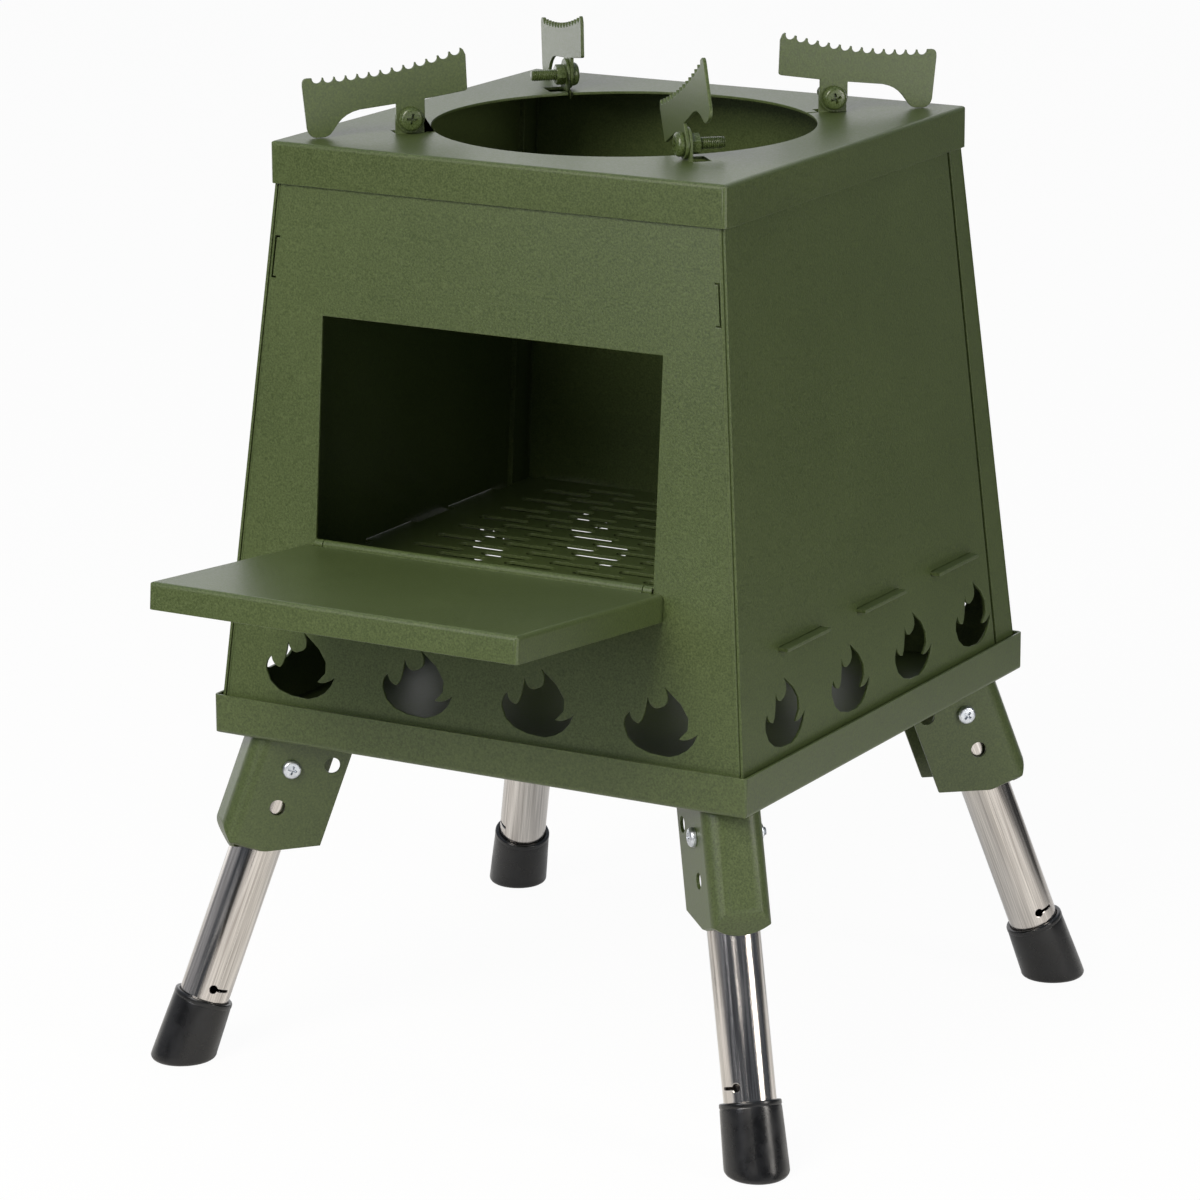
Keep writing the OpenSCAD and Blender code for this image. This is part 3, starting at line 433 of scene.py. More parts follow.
def roundTheTube(tree, look, acrossMm, alongMm):
    # The map holds turns round the tube and metres along it; the pattern closes on itself
    uv = addNode(tree, "ShaderNodeUVMap", {"uv_map": "alongTube"}).outputs[0]
    parts = addNode(tree, "ShaderNodeSeparateXYZ", links={0: uv})
    turn = addNode(tree, "ShaderNodeMath", {"operation": "MULTIPLY", 1: 2 * math.pi},
                   {0: parts.outputs["X"]})
    size = look["tubeRadiusMm"] / acrossMm
    places = []
    for operation in ("COSINE", "SINE"):
        wave = addNode(tree, "ShaderNodeMath", {"operation": operation}, {0: turn.outputs[0]})
        scaled = addNode(tree, "ShaderNodeMath", {"operation": "MULTIPLY", 1: size}, {0: wave.outputs[0]})
        places.append(scaled.outputs[0])
    along = addNode(tree, "ShaderNodeMath", {"operation": "MULTIPLY", 1: 1 / (alongMm * mm)},
                    {0: parts.outputs["Y"]})
    return addNode(tree, "ShaderNodeCombineXYZ",
                   links={0: places[0], 1: places[1], 2: along.outputs[0]}).outputs[0]


def makeStainless(look):
    material, tree = newMaterial("polished stainless tube")
    lines = addNode(tree, "ShaderNodeTexNoise", {"Scale": 1.0, "Detail": 2.0, "Roughness": 0.6},
                    {"Vector": roundTheTube(tree, look, look["lineMm"], look["lineLengthMm"])})
    streaks = addNode(tree, "ShaderNodeTexNoise", {"Scale": 1.0, "Detail": 2.0, "Distortion": 0.3},
                      {"Vector": roundTheTube(tree, look, look["streakMm"], look["streakLengthMm"])})
    gloss = wanderingGloss(tree, streaks.outputs["Fac"], look["streakSpan"], look)
    wave = addNode(tree, "ShaderNodeBump", {"Strength": 1.0, "Distance": look["streakDepthMm"] * mm},
                   {"Height": streaks.outputs["Fac"]})
    bump = addNode(tree, "ShaderNodeBump", {"Strength": 1.0, "Distance": look["lineDepthMm"] * mm},
                   {"Height": lines.outputs["Fac"], "Normal": wave.outputs[0]})
    haze = addNode(tree, "ShaderNodeMix", {"data_type": "FLOAT", 0: look["hazeShare"]},
                   {2: lines.outputs["Fac"], 3: streaks.outputs["Fac"]})
    colour = twoTones(tree, haze.outputs[0], look["hazeSpan"], look["dull"], look["bright"])
    shader = addNode(tree, "ShaderNodeBsdfPrincipled", {"Metallic": 1.0},
                     {"Base Color": colour, "Roughness": gloss, "Normal": bump.outputs[0]})
    closeMaterial(tree, shader)
    return material


zinc = {
    # Bright zinc on steel screws: bluish silver, a little cloudy from the bath
    "bright": "#d9dde2",
    "dull": "#bdc2c9",
    "cloudSpan": (0.35, 0.60),
    "roughness": 0.38,
    "glossSpread": (-0.06, 0.10),
    "cloudMm": 2.5,
}


def makeZinc(look):
    material, tree = newMaterial("zinc plated screw steel")
    place = addNode(tree, "ShaderNodeTexCoord").outputs["Object"]
    cloud = addNode(tree, "ShaderNodeTexNoise", {"Scale": 1 / (look["cloudMm"] * mm), "Detail": 3.0},
                    {"Vector": place})
    colour = twoTones(tree, cloud.outputs["Fac"], look["cloudSpan"], look["dull"], look["bright"])
    gloss = wanderingGloss(tree, cloud.outputs["Fac"], noiseSpan, look)
    shader = addNode(tree, "ShaderNodeBsdfPrincipled", {"Metallic": 1.0},
                     {"Base Color": colour, "Roughness": gloss})
    closeMaterial(tree, shader)
    return material


rubber = {
    # Moulded black rubber ferrule: semi-gloss skin from a smooth mould, slightly dusty
    "deep": "#070708",
    "dusty": "#101114",
    "dustSpan": (0.40, 0.75),
    "roughness": 0.25,
    "glossSpread": (-0.06, 0.14),
    "glossSpan": (0.30, 0.75),
    "ior": 1.52,
    "dustMm": 9,
    "grainMm": 0.5,
    "grainDepthMm": 0.012,
}


def makeRubber(look):
    material, tree = newMaterial("moulded black rubber")
    place = addNode(tree, "ShaderNodeTexCoord").outputs["Object"]
    dust = addNode(tree, "ShaderNodeTexNoise", {"Scale": 1 / (look["dustMm"] * mm), "Detail": 4.0},
                   {"Vector": place})
    grain = addNode(tree, "ShaderNodeTexNoise", {"Scale": 1 / (look["grainMm"] * mm), "Detail": 1.0},
                    {"Vector": place})
    colour = twoTones(tree, dust.outputs["Fac"], look["dustSpan"], look["deep"], look["dusty"])
    gloss = wanderingGloss(tree, dust.outputs["Fac"], look["glossSpan"], look)
    bump = addNode(tree, "ShaderNodeBump", {"Strength": 1.0, "Distance": look["grainDepthMm"] * mm},
                   {"Height": grain.outputs["Fac"]})
    shader = addNode(tree, "ShaderNodeBsdfPrincipled", {"IOR": look["ior"]},
                     {"Base Color": colour, "Roughness": gloss, "Normal": bump.outputs[0]})
    closeMaterial(tree, shader)
    return material


coatMaterial = makePowderCoat("army green powder coat", powderCoat)
fittingMaterial = makePowderCoat("green coated screw", screwCoat)
stainlessMaterial = makeStainless(stainless)
zincMaterial = makeZinc(zinc)
rubberMaterial = makeRubber(rubber)
print("stage: finishes")

# Mesh helpers
weld = {"apart": 0.0008, "shortest": 0.0005}    # points and edges under these lengths are one


def bodyOf(nodeName):
    return body_of(nodes[nodeName])[0]


def mergedMesh(nodeName):
    # A copy of the node's own mesh as one closed surface
    bm = bmesh.new()
    bm.from_mesh(nodes[nodeName].data)
    bmesh.ops.remove_doubles(bm, verts=bm.verts, dist=weld["apart"] * mm)
    bmesh.ops.dissolve_degenerate(bm, dist=weld["shortest"] * mm, edges=bm.edges)
    return bm


def meshObject(name, bm, material):
    # The mesh as a new smooth-shaded object at the origin
    mesh = bpy.data.meshes.new(name)
    bm.to_mesh(mesh)
    bm.free()
    mesh.polygons.foreach_set("use_smooth", [True] * len(mesh.polygons))
    mesh.materials.append(material)
    piece = bpy.data.objects.new(name, mesh)
    bpy.context.scene.collection.objects.link(piece)
    return piece


def addRings(bm, rings, joined=False):
    # A skin over rings of points: its two ends are capped, or joined to each other
    rows = [[bm.verts.new(point) for point in ring] for ring in rings]
    count = len(rows[0])
    for a, b in zip(rows, rows[1:] + rows[:1] if joined else rows[1:]):
        for k in range(count):
            bm.faces.new((a[k], a[(k + 1) % count], b[(k + 1) % count], b[k]))
    if not joined:
        bm.faces.new(rows[0][::-1])
        bm.faces.new(rows[-1])


def circle(radius, height, count):
    turns = [2 * math.pi * k / count for k in range(count)]
    return [Vector((radius * math.cos(turn), radius * math.sin(turn), height)) for turn in turns]


def weightNormals(piece):
    # Flat faces stay flat beside their rounded edges
    weighted = piece.modifiers.new("weighted", "WEIGHTED_NORMAL")
    weighted.mode = "FACE_AREA"
    weighted.keep_sharp = True


def standFor(piece, nodeName):
    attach(piece, bodyOf(nodeName))
    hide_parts(nodeName)


# Sheet pieces: each edge of the cut sheet is softened, as the coat leaves it
sheetEdges = {
    "round": 0.22,            # radius of the softened edges
    "steps": 2,
    "sharpAngle": 32,         # degrees, above which an edge is softened
    "flatAngle": 0.15,        # degrees, below which two faces are one
    "foldRounds": {"top_cap": 1.8},    # outer radius of a piece's folds, where it is larger
    "foldSteps": 4,
    "foldAngle": 60,          # degrees, the least turn of such a fold
    "flangeWidth": 4.0,       # least length of such a fold, and least width of the sheet on both its sides
}
sheetPieces = ["base_tray", "front_panel", "rear_panel", "left_panel", "right_panel", "fire_grate", "top_cap",
               "fuel_door"]
sheetPieces += [f"leg_bracket_{corner}" for corner in corners]
sheetPieces += [f"pot_support_{corner}" for corner in corners]


def roundEdges(bm, edges, radius, steps):
    bmesh.ops.bevel(bm, geom=edges, offset=radius * mm, offset_type="OFFSET", segments=steps, profile=0.5,
                    affect="EDGES", clamp_overlap=False, miter_outer="SHARP", miter_inner="SHARP",
                    loop_slide=True)


def softenEdges(bm, look):
    bmesh.ops.dissolve_limit(bm, angle_limit=math.radians(look["flatAngle"]), verts=bm.verts,
                             edges=bm.edges)
    sharp = [edge for edge in bm.edges
             if len(edge.link_faces) == 2 and edge.calc_face_angle() > math.radians(look["sharpAngle"])]
    roundEdges(bm, sharp, look["round"], look["steps"])


def roundFolds(bm, look, radius):
    # The outer side of a folded sheet turns on a radius
    bmesh.ops.dissolve_limit(bm, angle_limit=math.radians(look["flatAngle"]), verts=bm.verts,
                             edges=bm.edges)
    folds = []
    for edge in bm.edges:
        if len(edge.link_faces) != 2 or not edge.is_convex:
            continue
        length = edge.calc_length()
        narrowest = min(face.calc_area() for face in edge.link_faces) / length
        turned = edge.calc_face_angle() > math.radians(look["foldAngle"])
        if turned and min(narrowest, length) > look["flangeWidth"] * mm:
            folds.append(edge)
    roundEdges(bm, folds, radius, look["foldSteps"])


def makeSheetPiece(nodeName, look):
    bm = mergedMesh(nodeName)
    if nodeName in look["foldRounds"]:
        roundFolds(bm, look, look["foldRounds"][nodeName])
    softenEdges(bm, look)
    piece = meshObject(f"{nodeName}_sheet", bm, coatMaterial)
    weightNormals(piece)
    standFor(piece, nodeName)


for sheetPiece in sheetPieces:
    makeSheetPiece(sheetPiece, sheetEdges)
print("stage: sheet pieces")

# Leg tubes and the hinge wire: polished steel, mapped round and along its own axis
tubeEdges = {
    "round": 0.25,            # radius of the softened edges
    "steps": 2,
    "sharpAngle": 40,         # degrees
    "flatAngle": 0.15,        # degrees
    "wallShare": 0.97,        # a face is part of the wall where its normal is at least this much radial
}


def legAxis(corner):
    # The leg's pivot, its way down the tube and its pivot's axis
    pivot = Vector(joints[f"leg_{corner}_fold"]["pos_m"])
    sole = Vector(mounts[f"sole_{corner}"]["pos_m"])
    return pivot, (sole - pivot).normalized(), Vector(joints[f"leg_{corner}_fold"]["axis"])


def mapTube(piece, pivot, along, across):
    # Turns round the tube and metres along it
    third = along.cross(across)
    mesh = piece.data
    layer = mesh.uv_layers.new(name="alongTube")
    for polygon in mesh.polygons:
        middle = polygon.center - pivot
        middleTurn = math.atan2(middle.dot(third), middle.dot(across))
        for loop in polygon.loop_indices:
            offset = mesh.vertices[mesh.loops[loop].vertex_index].co - pivot
            turn = math.atan2(offset.dot(third), offset.dot(across))
            while turn - middleTurn > math.pi:
                turn -= 2 * math.pi
            while turn - middleTurn < -math.pi:
                turn += 2 * math.pi
            layer.data[loop].uv = (turn / (2 * math.pi), offset.dot(along))


def roundNormals(piece, pivot, along, wallShare):
    # The walls shine as true cylinders, however narrow or wide their facets are
    mesh = piece.data
    normals = []
    for polygon in mesh.polygons:
        for loop in polygon.loop_indices:
            offset = mesh.vertices[mesh.loops[loop].vertex_index].co - pivot
            outward = (offset - along * offset.dot(along)).normalized()
            lean = polygon.normal.dot(outward)
            normals.append(polygon.normal if abs(lean) < wallShare else outward * math.copysign(1, lean))
    mesh.normals_split_custom_set(normals)


def makeTube(corner, look):
    nodeName = f"leg_tube_{corner}"
    bm = mergedMesh(nodeName)
    softenEdges(bm, look)
    piece = meshObject(f"{nodeName}_polished", bm, stainlessMaterial)
    pivot, along, across = legAxis(corner)
    mapTube(piece, pivot, along, across)
    roundNormals(piece, pivot, along, look["wallShare"])
    standFor(piece, nodeName)


def makeHingeWire(nodeName):
    # A short straight wire along the stove's width
    piece = meshObject(f"{nodeName}_drawn", mergedMesh(nodeName), stainlessMaterial)
    low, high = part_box(nodeName)
    mapTube(piece, (low + high) / 2, Vector((1, 0, 0)), Vector((0, 0, 1)))
    weightNormals(piece)
    standFor(piece, nodeName)


for corner in corners:
    makeTube(corner, tubeEdges)
makeHingeWire("door_hinge_wire")
print("stage: leg tubes and hinge wire")

# Rubber feet: moulded ferrules with a rolled upper rim and a flat sole parallel to the ground
footShape = {
    "rimBand": 2.2,           # height of the rolled band round the mouth
    "rimProud": 0.15,         # how far the band stands out
    "rimRound": 0.6,          # radius of the lip, and width of the groove under the band
    "grooveDepth": 0.15,
    "lipDown": 0.30,          # share of that radius that the lip has sunk halfway round
    "lipIn": (0.30, 0.25),    # and the share that it has come in there, at the bore and outside
    "bandRings": (-0.5, 0.0, 0.4, 1.1),    # rings beside the band's lower edge, as shares of the radius
    "floorShare": 0.5,        # radius of the ring in the cup's floor, as a share of the bore's
    "flare": 0.8,             # power of the wall's flare: under 1 it widens early
    "soleRound": 2.2,         # bevel round the sole
    "soleSteps": 4,
    "treadDepth": 0.9,
    "treadRings": 3,
    "treadStart": 0.45,       # in rings, how far in the first groove lies
    "treadMiddle": 0.6,       # in rings, what stays flat in the middle
    "groove": ((0.05, 0), (0.01, 1), (-0.07, 1), (-0.11, 0)),    # shares of radius and of depth
    "sides": 64,
    "wallSteps": 10,
    "halvings": 40,           # steps of the search for the wall's end
    "searchReach": 1.6,       # in foot lengths
}
# How near a point of the node has to lie to count as at the mouth or on the bore, and how far below the
# mouth the cup's floor is looked for
footRead = {"mouth": 0.3, "bore": 0.2, "below": 1.0}


def footSizes(corner):
    # Top, mouth, bore, largest radius and cup depth of the foot, read from its node along the leg's axis
    pivot, along, _ = legAxis(corner)
    points = [vertex.co - pivot for vertex in nodes[f"foot_{corner}"].data.vertices]
    rows = [(point.dot(along), (point - along * point.dot(along)).length) for point in points]
    top = min(height for height, radius in rows)
    rim = [radius for height, radius in rows if height < top + footRead["mouth"] * mm]
    bore = min(rim)
    cup = min(height for height, radius in rows
              if radius < bore + footRead["bore"] * mm and height > top + footRead["below"] * mm)
    return {"top": top, "outer": max(radius for height, radius in rows), "mouth": max(rim), "bore": bore,
            "cup": cup - top}


def makeFoot(corner, look):
    pivot, along, across = legAxis(corner)
    other = along.cross(across)
    size = footSizes(corner)
    sole = Vector(mounts[f"sole_{corner}"]["pos_m"])
    length = (sole - pivot).length - size["top"]
    band, edge = look["rimBand"] * mm, look["rimRound"] * mm
    bore, rim = size["bore"], size["mouth"] + look["rimProud"] * mm
    turns = [2 * math.pi * k / look["sides"] for k in range(look["sides"])]

    def wallRadius(depth):
        share = min(max(depth / length, 0), 1)
        radius = size["mouth"] + (size["outer"] - size["mouth"]) * share ** look["flare"]
        if depth < band:
            radius += look["rimProud"] * mm
        elif depth < band + edge:
            radius -= look["grooveDepth"] * mm
        return radius

    def onWall(turn, depth, radius=None):
        radius = wallRadius(depth) if radius is None else radius
        out = across * math.cos(turn) + other * math.sin(turn)
        return pivot + along * (size["top"] + depth) + out * radius

    def wallEnd(turn):
        # How far the wall runs before the bevel round the sole starts, found by halving
        low, high = 0.0, length * look["searchReach"]
        for _ in range(look["halvings"]):
            middle = (low + high) / 2
            if onWall(turn, middle).z > sole.z + look["soleRound"] * mm:
                low = middle
            else:
                high = middle
        return low

    # Up the bore from the cup's floor, and over the lip
    down, (boreIn, rimIn) = edge * look["lipDown"], look["lipIn"]
    lip = [(size["cup"], bore * look["floorShare"]), (size["cup"], bore), (edge, bore),
           (down, bore + edge * boreIn), (0, bore + edge), (0, rim - edge), (down, rim - edge * rimIn)]
    rings = [[onWall(turn, depth, radius) for turn in turns] for depth, radius in lip]
    # Down the band and the wall, to the bevel
    depths = [edge] + [band + edge * share for share in look["bandRings"]]
    rings += [[onWall(turn, depth) for turn in turns] for depth in depths]
    ends = [wallEnd(turn) for turn in turns]
    for step in range(1, look["wallSteps"] + 1):
        share = step / look["wallSteps"]
        rings.append([onWall(turn, depths[-1] + (end - depths[-1]) * share)
                      for turn, end in zip(turns, ends)])
    # Round the sole's edge
    wall, lift = rings[-1], look["soleRound"] * mm
    for step in range(1, look["soleSteps"] + 1):
        angle = math.pi / 2 * step / look["soleSteps"]
        ring = []
        for point in wall:
            inward = Vector((sole.x - point.x, sole.y - point.y, 0)).normalized()
            ring.append(Vector((point.x, point.y, sole.z + lift * (1 - math.sin(angle))))
                        + inward * lift * (1 - math.cos(angle)))
        rings.append(ring)
    # Grooves of the tread
    outline = rings[-1]
    for index in range(look["treadRings"]):
        inner = 1 - (index + look["treadStart"]) / (look["treadRings"] + look["treadMiddle"])
        for shift, depthShare in look["groove"]:
            share, height = inner + shift, sole.z + look["treadDepth"] * mm * depthShare
            rings.append([Vector((sole.x + (point.x - sole.x) * share, sole.y + (point.y - sole.y) * share,
                                  height)) for point in outline])
    bm = bmesh.new()
    addRings(bm, rings)
    bmesh.ops.recalc_face_normals(bm, faces=bm.faces)
    nodeName = f"foot_{corner}"
    piece = meshObject(f"{nodeName}_rubber", bm, rubberMaterial)
    weightNormals(piece)
    standFor(piece, nodeName)


for corner in corners:
    makeFoot(corner, footShape)
print("stage: rubber feet")

# Screws and nuts: one master of each, set at every pivot by Geometry Nodes
legScrew = {"pitch": 0.7, "recessWidth": 1.1, "recessReach": 2.5, "recessDepth": 1.3, "headRound": 0.9}
supportScrew = {"pitch": 0.8, "recessWidth": 1.3, "recessReach": 3.0, "recessDepth": 1.6, "headRound": 1.1}
panHead = {
    "sides": 40,
    "underRound": 0.25,       # bevel round the head's underside
    "underShare": 0.5,        # ring under the head, as a share of the shank's radius
    "sideDrop": 1.5,          # in headRounds, how far the upright side stays under the top
    "sideShare": 0.7,         # the share of that side which is upright
    "domeSteps": 7,
    "domeIn": 1.6,            # in headRounds, how far the dome draws in
    "domeShare": 0.94,        # the share of the head's height that the dome reaches
    "crown": ((0.6, 0.985), (0.25, 1.0)),    # rings on top, as shares of the dome's radius and the height
}
crossRecess = {
    "reachShare": 0.55,       # its reach and width at the bottom, as shares of those at the top
    "widthShare": 0.75,
    "turn": 45,               # degrees
    "overrun": 1.0,           # how far its cutter stands above the head
}
thread = {
    "sides": 20,
    "steps": 6,               # rings for each turn of thread
    "depthShare": 0.54,       # of the pitch
    "flank": 1.25,            # over 1 the crest has a flat
    "fadeTurns": 1.2,         # in turns, how long the tip tapers
    "fadeShare": 0.8,         # of the depth, how much it tapers
}
nutShape = {"chamfer": 0.5, "slope": 0.6, "sides": 48}
creaseAngle = 38              # degrees, above which an edge of a screw or nut stays crisp
# How near a point of the node has to lie to count as on the head's rim or at the tip
screwRead = {"headEdge": 0.05, "tip": 1.5}


def islands(nodeName):
    # Points of each separate solid in a node
    bm = mergedMesh(nodeName)
    bm.verts.ensure_lookup_table()
    seen = set()
    found = []
    for first in bm.verts:
        if first.index in seen:
            continue
        stack = [first]
        seen.add(first.index)
        group = []
        while stack:
            vertex = stack.pop()
            group.append(vertex.co.copy())
            for edge in vertex.link_edges:
                other = edge.other_vert(vertex)
                if other.index not in seen:
                    seen.add(other.index)
                    stack.append(other)
        found.append(group)
    bm.free()
    return found


def alongAxis(points, pivot, axis):
    # For each point, its place along the axis and its distance from it
    rows = []
    for point in points:
        offset = point - pivot
        place = offset.dot(axis)
        rows.append((place, (offset - axis * place).length))
    return rows


def readScrew(points, pivot, axis):
    # Where the head's underside sits, which way the head looks, and the screw's sizes
    rows = alongAxis(points, pivot, axis)
    low, high = min(r[0] for r in rows), max(r[0] for r in rows)
    headR = max(r[1] for r in rows)
    headPlaces = [r[0] for r in rows if r[1] > headR - screwRead["headEdge"] * mm]
    side = 1 if sum(headPlaces) / len(headPlaces) > (low + high) / 2 else -1
    seat = min(headPlaces) if side > 0 else max(headPlaces)
    top = high if side > 0 else low
    tip = low if side > 0 else high
    shank = [r[1] for r in rows if abs(r[0] - tip) < screwRead["tip"] * mm]
    return {"seat": seat, "side": side, "headR": headR, "headH": abs(top - seat), "length": abs(seat - tip),
            "shankR": max(shank)}


def nearestIsland(groups, pivot):
    return min(groups, key=lambda group: (sum(group, Vector()) / len(group) - pivot).length)


def threadRings(look, radius, length):
    # A rolled thread from its tip up. The wall's radius rises and falls once for each pitch, one turn round
    pitch = look["pitch"] * mm
    depth = pitch * thread["depthShare"]
    steps = int(length / pitch * thread["steps"])
    rings = []
    for step in range(steps, -1, -1):
        z = -length * step / steps
        fade = min(1, (length + z) / (thread["fadeTurns"] * pitch))
        ring = []
        for k in range(thread["sides"]):
            phase = (z / pitch - k / thread["sides"]) % 1
            rise = min(1, (1 - abs(2 * phase - 1)) * thread["flank"])
            local = radius - depth * (1 - rise) - depth * thread["fadeShare"] * (1 - fade)
            turn = 2 * math.pi * k / thread["sides"]
            ring.append(Vector((local * math.cos(turn), local * math.sin(turn), z)))
        rings.append(ring)
    return rings


def panHeadRings(look, size):
    # From the seat up over the side and the dome
    headR, headH, rounding = size["headR"], size["headH"], look["headRound"] * mm
    under = panHead["underRound"] * mm
    upright = (headH - rounding * panHead["sideDrop"]) * panHead["sideShare"]
    shoulder, domeIn = headH * panHead["domeShare"], rounding * panHead["domeIn"]
    places = [(size["shankR"] * panHead["underShare"], 0), (headR - under, 0), (headR, under)]
    places.append((headR, upright))
    for step in range(1, panHead["domeSteps"] + 1):
        angle = math.pi / 2 * step / panHead["domeSteps"]
        height = upright + (shoulder - upright) * math.sin(angle)
        places.append((headR - domeIn * (1 - math.cos(angle)), height))
    places += [((headR - domeIn) * share, headH * heightShare) for share, heightShare in panHead["crown"]]
    return [circle(radius, height, panHead["sides"]) for radius, height in places]


def makeRecessTool(name, look, headH):
    # Two crossed blocks that narrow downwards
    cutter = bmesh.new()
    reach, width, depth = (look[k] * mm for k in ("recessReach", "recessWidth", "recessDepth"))
    for turn in (0, 90):
        arm = bmesh.ops.create_cube(cutter, size=1.0)["verts"]
        for vertex in arm:
            lower = vertex.co.z < 0
            vertex.co.x *= 2 * reach * (crossRecess["reachShare"] if lower else 1)
            vertex.co.y *= width * (crossRecess["widthShare"] if lower else 1)
            vertex.co.z = headH - depth if lower else headH + crossRecess["overrun"] * mm
        angle = math.radians(turn + crossRecess["turn"])
        bmesh.ops.rotate(cutter, verts=arm, cent=(0, 0, 0), matrix=Matrix.Rotation(angle, 3, "Z"))
    return meshObject(name, cutter, zincMaterial)


def evaluatedMesh(holder):
    bpy.context.view_layer.update()
    evaluated = holder.evaluated_get(bpy.context.evaluated_depsgraph_get())
    return bpy.data.meshes.new_from_object(evaluated)


def makeScrewMaster(name, look, size):
    # Pan head with a cross recess on a threaded shank, its seat at the origin and its head up
    bm = bmesh.new()
    addRings(bm, panHeadRings(look, size))
    head = meshObject(name, bm, zincMaterial)
    tool = makeRecessTool(name + "_recess", look, size["headH"])
    cut = head.modifiers.new("recess", "BOOLEAN")
    cut.operation = "DIFFERENCE"
    cut.solver = "EXACT"
    cut.use_self = True
    cut.object = tool
    joined = bmesh.new()
    joined.from_mesh(evaluatedMesh(head))
    head.modifiers.clear()
    bpy.data.objects.remove(tool)
    addRings(joined, threadRings(look, size["shankR"], size["length"]))
    joined.to_mesh(head.data)
    joined.free()
    return head


def makeNutMaster(name, look, across, height, bore):
    # Hexagon nut with both faces turned down to a circle
    bm = bmesh.new()
    count, slope = look["sides"], look["chamfer"] * look["slope"] * mm
    sixth = math.pi / 3

    def hexagon(z, most):
        # The hexagon's outline, no further out than most
        points = []
        for k in range(count):
            turn = 2 * math.pi * k / count
            part = (turn + sixth / 2) % sixth - sixth / 2
            radius = min(across / 2 / math.cos(part), most)
            points.append(Vector((radius * math.cos(turn), radius * math.sin(turn), z)))
        return points

    full = across / 2 / math.cos(sixth / 2)
    rings = [circle(bore, 0, count), hexagon(0, across / 2), hexagon(slope, full)]
    rings += [hexagon(height - slope, full), hexagon(height, across / 2), circle(bore, height, count)]
    addRings(bm, rings, joined=True)
    bmesh.ops.recalc_face_normals(bm, faces=bm.faces)
    return meshObject(name, bm, zincMaterial)


def fastenerTree():
    # Points with a turn each: a copy of the fastener on every one
    tree = bpy.data.node_groups.new("fastenersAtPivots", "GeometryNodeTree")
    sockets = (("Geometry", "Geometry", "INPUT"), ("Fastener", "Object", "INPUT"),
               ("Size", "Float", "INPUT"), ("Finish", "Material", "INPUT"),
               ("Geometry", "Geometry", "OUTPUT"))
    for name, kind, way in sockets:
        tree.interface.new_socket(name=name, in_out=way, socket_type="NodeSocket" + kind)
    given = addNode(tree, "NodeGroupInput")
    info = addNode(tree, "GeometryNodeObjectInfo", links={"Object": given.outputs["Fastener"]})
    turn = addNode(tree, "GeometryNodeInputNamedAttribute", {"data_type": "FLOAT_VECTOR", "Name": "turn"})
    placed = addNode(tree, "GeometryNodeInstanceOnPoints",
                     links={"Points": given.outputs["Geometry"], "Instance": info.outputs["Geometry"],
                            "Rotation": turn.outputs["Attribute"], "Scale": given.outputs["Size"]})
    real = addNode(tree, "GeometryNodeRealizeInstances", links={"Geometry": placed.outputs[0]})
    coated = addNode(tree, "GeometryNodeSetMaterial",
                     links={"Geometry": real.outputs[0], "Material": given.outputs["Finish"]})
    addNode(tree, "NodeGroupOutput", links={"Geometry": coated.outputs[0]})
    return tree


fastenersAtPivots = fastenerTree()


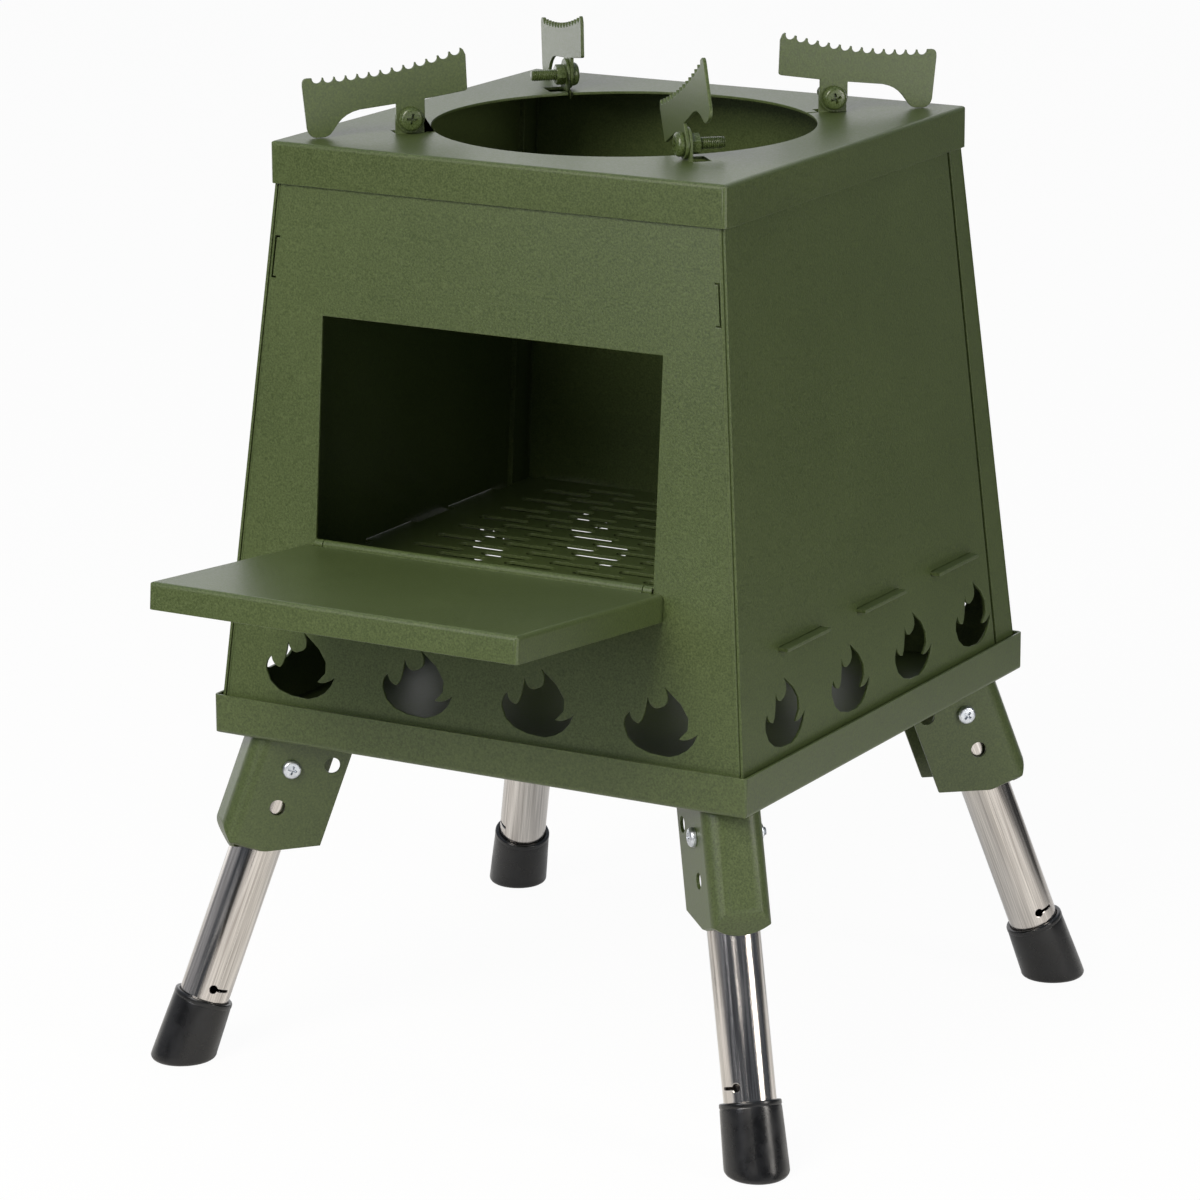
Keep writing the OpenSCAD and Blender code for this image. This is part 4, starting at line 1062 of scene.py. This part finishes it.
def setFasteners(name, master, places, finish):
    # places holds (seat, direction of the head, roll in degrees)
    mesh = bpy.data.meshes.new(name + "_points")
    mesh.from_pydata([seat for seat, way, roll in places], [], [])
    turns = mesh.attributes.new("turn", "FLOAT_VECTOR", "POINT")
    for index, (seat, way, roll) in enumerate(places):
        turn = way.to_track_quat("Z", "Y").to_matrix() @ Matrix.Rotation(math.radians(roll), 3, "Z")
        turns.data[index].vector = turn.to_euler()
    holder = bpy.data.objects.new(name + "_points", mesh)
    bpy.context.scene.collection.objects.link(holder)
    setter = holder.modifiers.new("fasteners", "NODES")
    setter.node_group = fastenersAtPivots
    sockets = {item.name: item.identifier for item in fastenersAtPivots.interface.items_tree
               if item.in_out == "INPUT"}
    setter[sockets["Fastener"]] = master
    setter[sockets["Size"]] = 1.0
    setter[sockets["Finish"]] = finish
    made = evaluatedMesh(holder)
    made.name = name
    piece = bpy.data.objects.new(name, made)
    bpy.context.scene.collection.objects.link(piece)
    bpy.data.objects.remove(holder)
    bpy.data.objects.remove(master)
    made.polygons.foreach_set("use_smooth", [True] * len(made.polygons))
    return piece


def sharpenOver(piece, degrees):
    # Creases stay crisp, rounded stretches stay smooth
    bm = bmesh.new()
    bm.from_mesh(piece.data)
    for edge in bm.edges:
        edge.smooth = not (len(edge.link_faces) == 2 and edge.calc_face_angle() > math.radians(degrees))
    bm.to_mesh(piece.data)
    bm.free()


def makeFasteners(screwNode, nutNode, jointName, look, finish, rolls):
    # rolls are the screws' turns in degrees, one for each corner
    screws, nuts = islands(screwNode), islands(nutNode)
    screwPlaces, nutPlaces = [], []
    for corner, roll in zip(corners, rolls):
        joint = joints[jointName.format(corner)]
        pivot, axis = Vector(joint["pos_m"]), Vector(joint["axis"]).normalized()
        size = readScrew(nearestIsland(screws, pivot), pivot, axis)
        way = axis * size["side"]
        screwPlaces.append((pivot + axis * size["seat"], way, roll))
        rows = alongAxis(nearestIsland(nuts, pivot), pivot, axis)
        low, high = min(r[0] for r in rows), max(r[0] for r in rows)
        across = 2 * max(r[1] for r in rows) * math.cos(math.pi / 6)
        nutPlaces.append((pivot + axis * (low if size["side"] < 0 else high), -way, roll))
    screwMaster = makeScrewMaster(screwNode + "_master", look, size)
    nutMaster = makeNutMaster(nutNode + "_master", nutShape, across, high - low, size["shankR"])
    for name, master, places in ((screwNode, screwMaster, screwPlaces), (nutNode, nutMaster, nutPlaces)):
        piece = setFasteners(name + "_turned", master, places, finish)
        sharpenOver(piece, creaseAngle)
        standFor(piece, name)


makeFasteners("leg_screws", "leg_nuts", "leg_{}_fold", legScrew, zincMaterial,
              (25, 50, 5, 70))
makeFasteners("support_screws", "support_nuts", "pot_support_{}_tilt", supportScrew, fittingMaterial,
              (35, 10, 60, 80))
print("stage: screws and nuts")
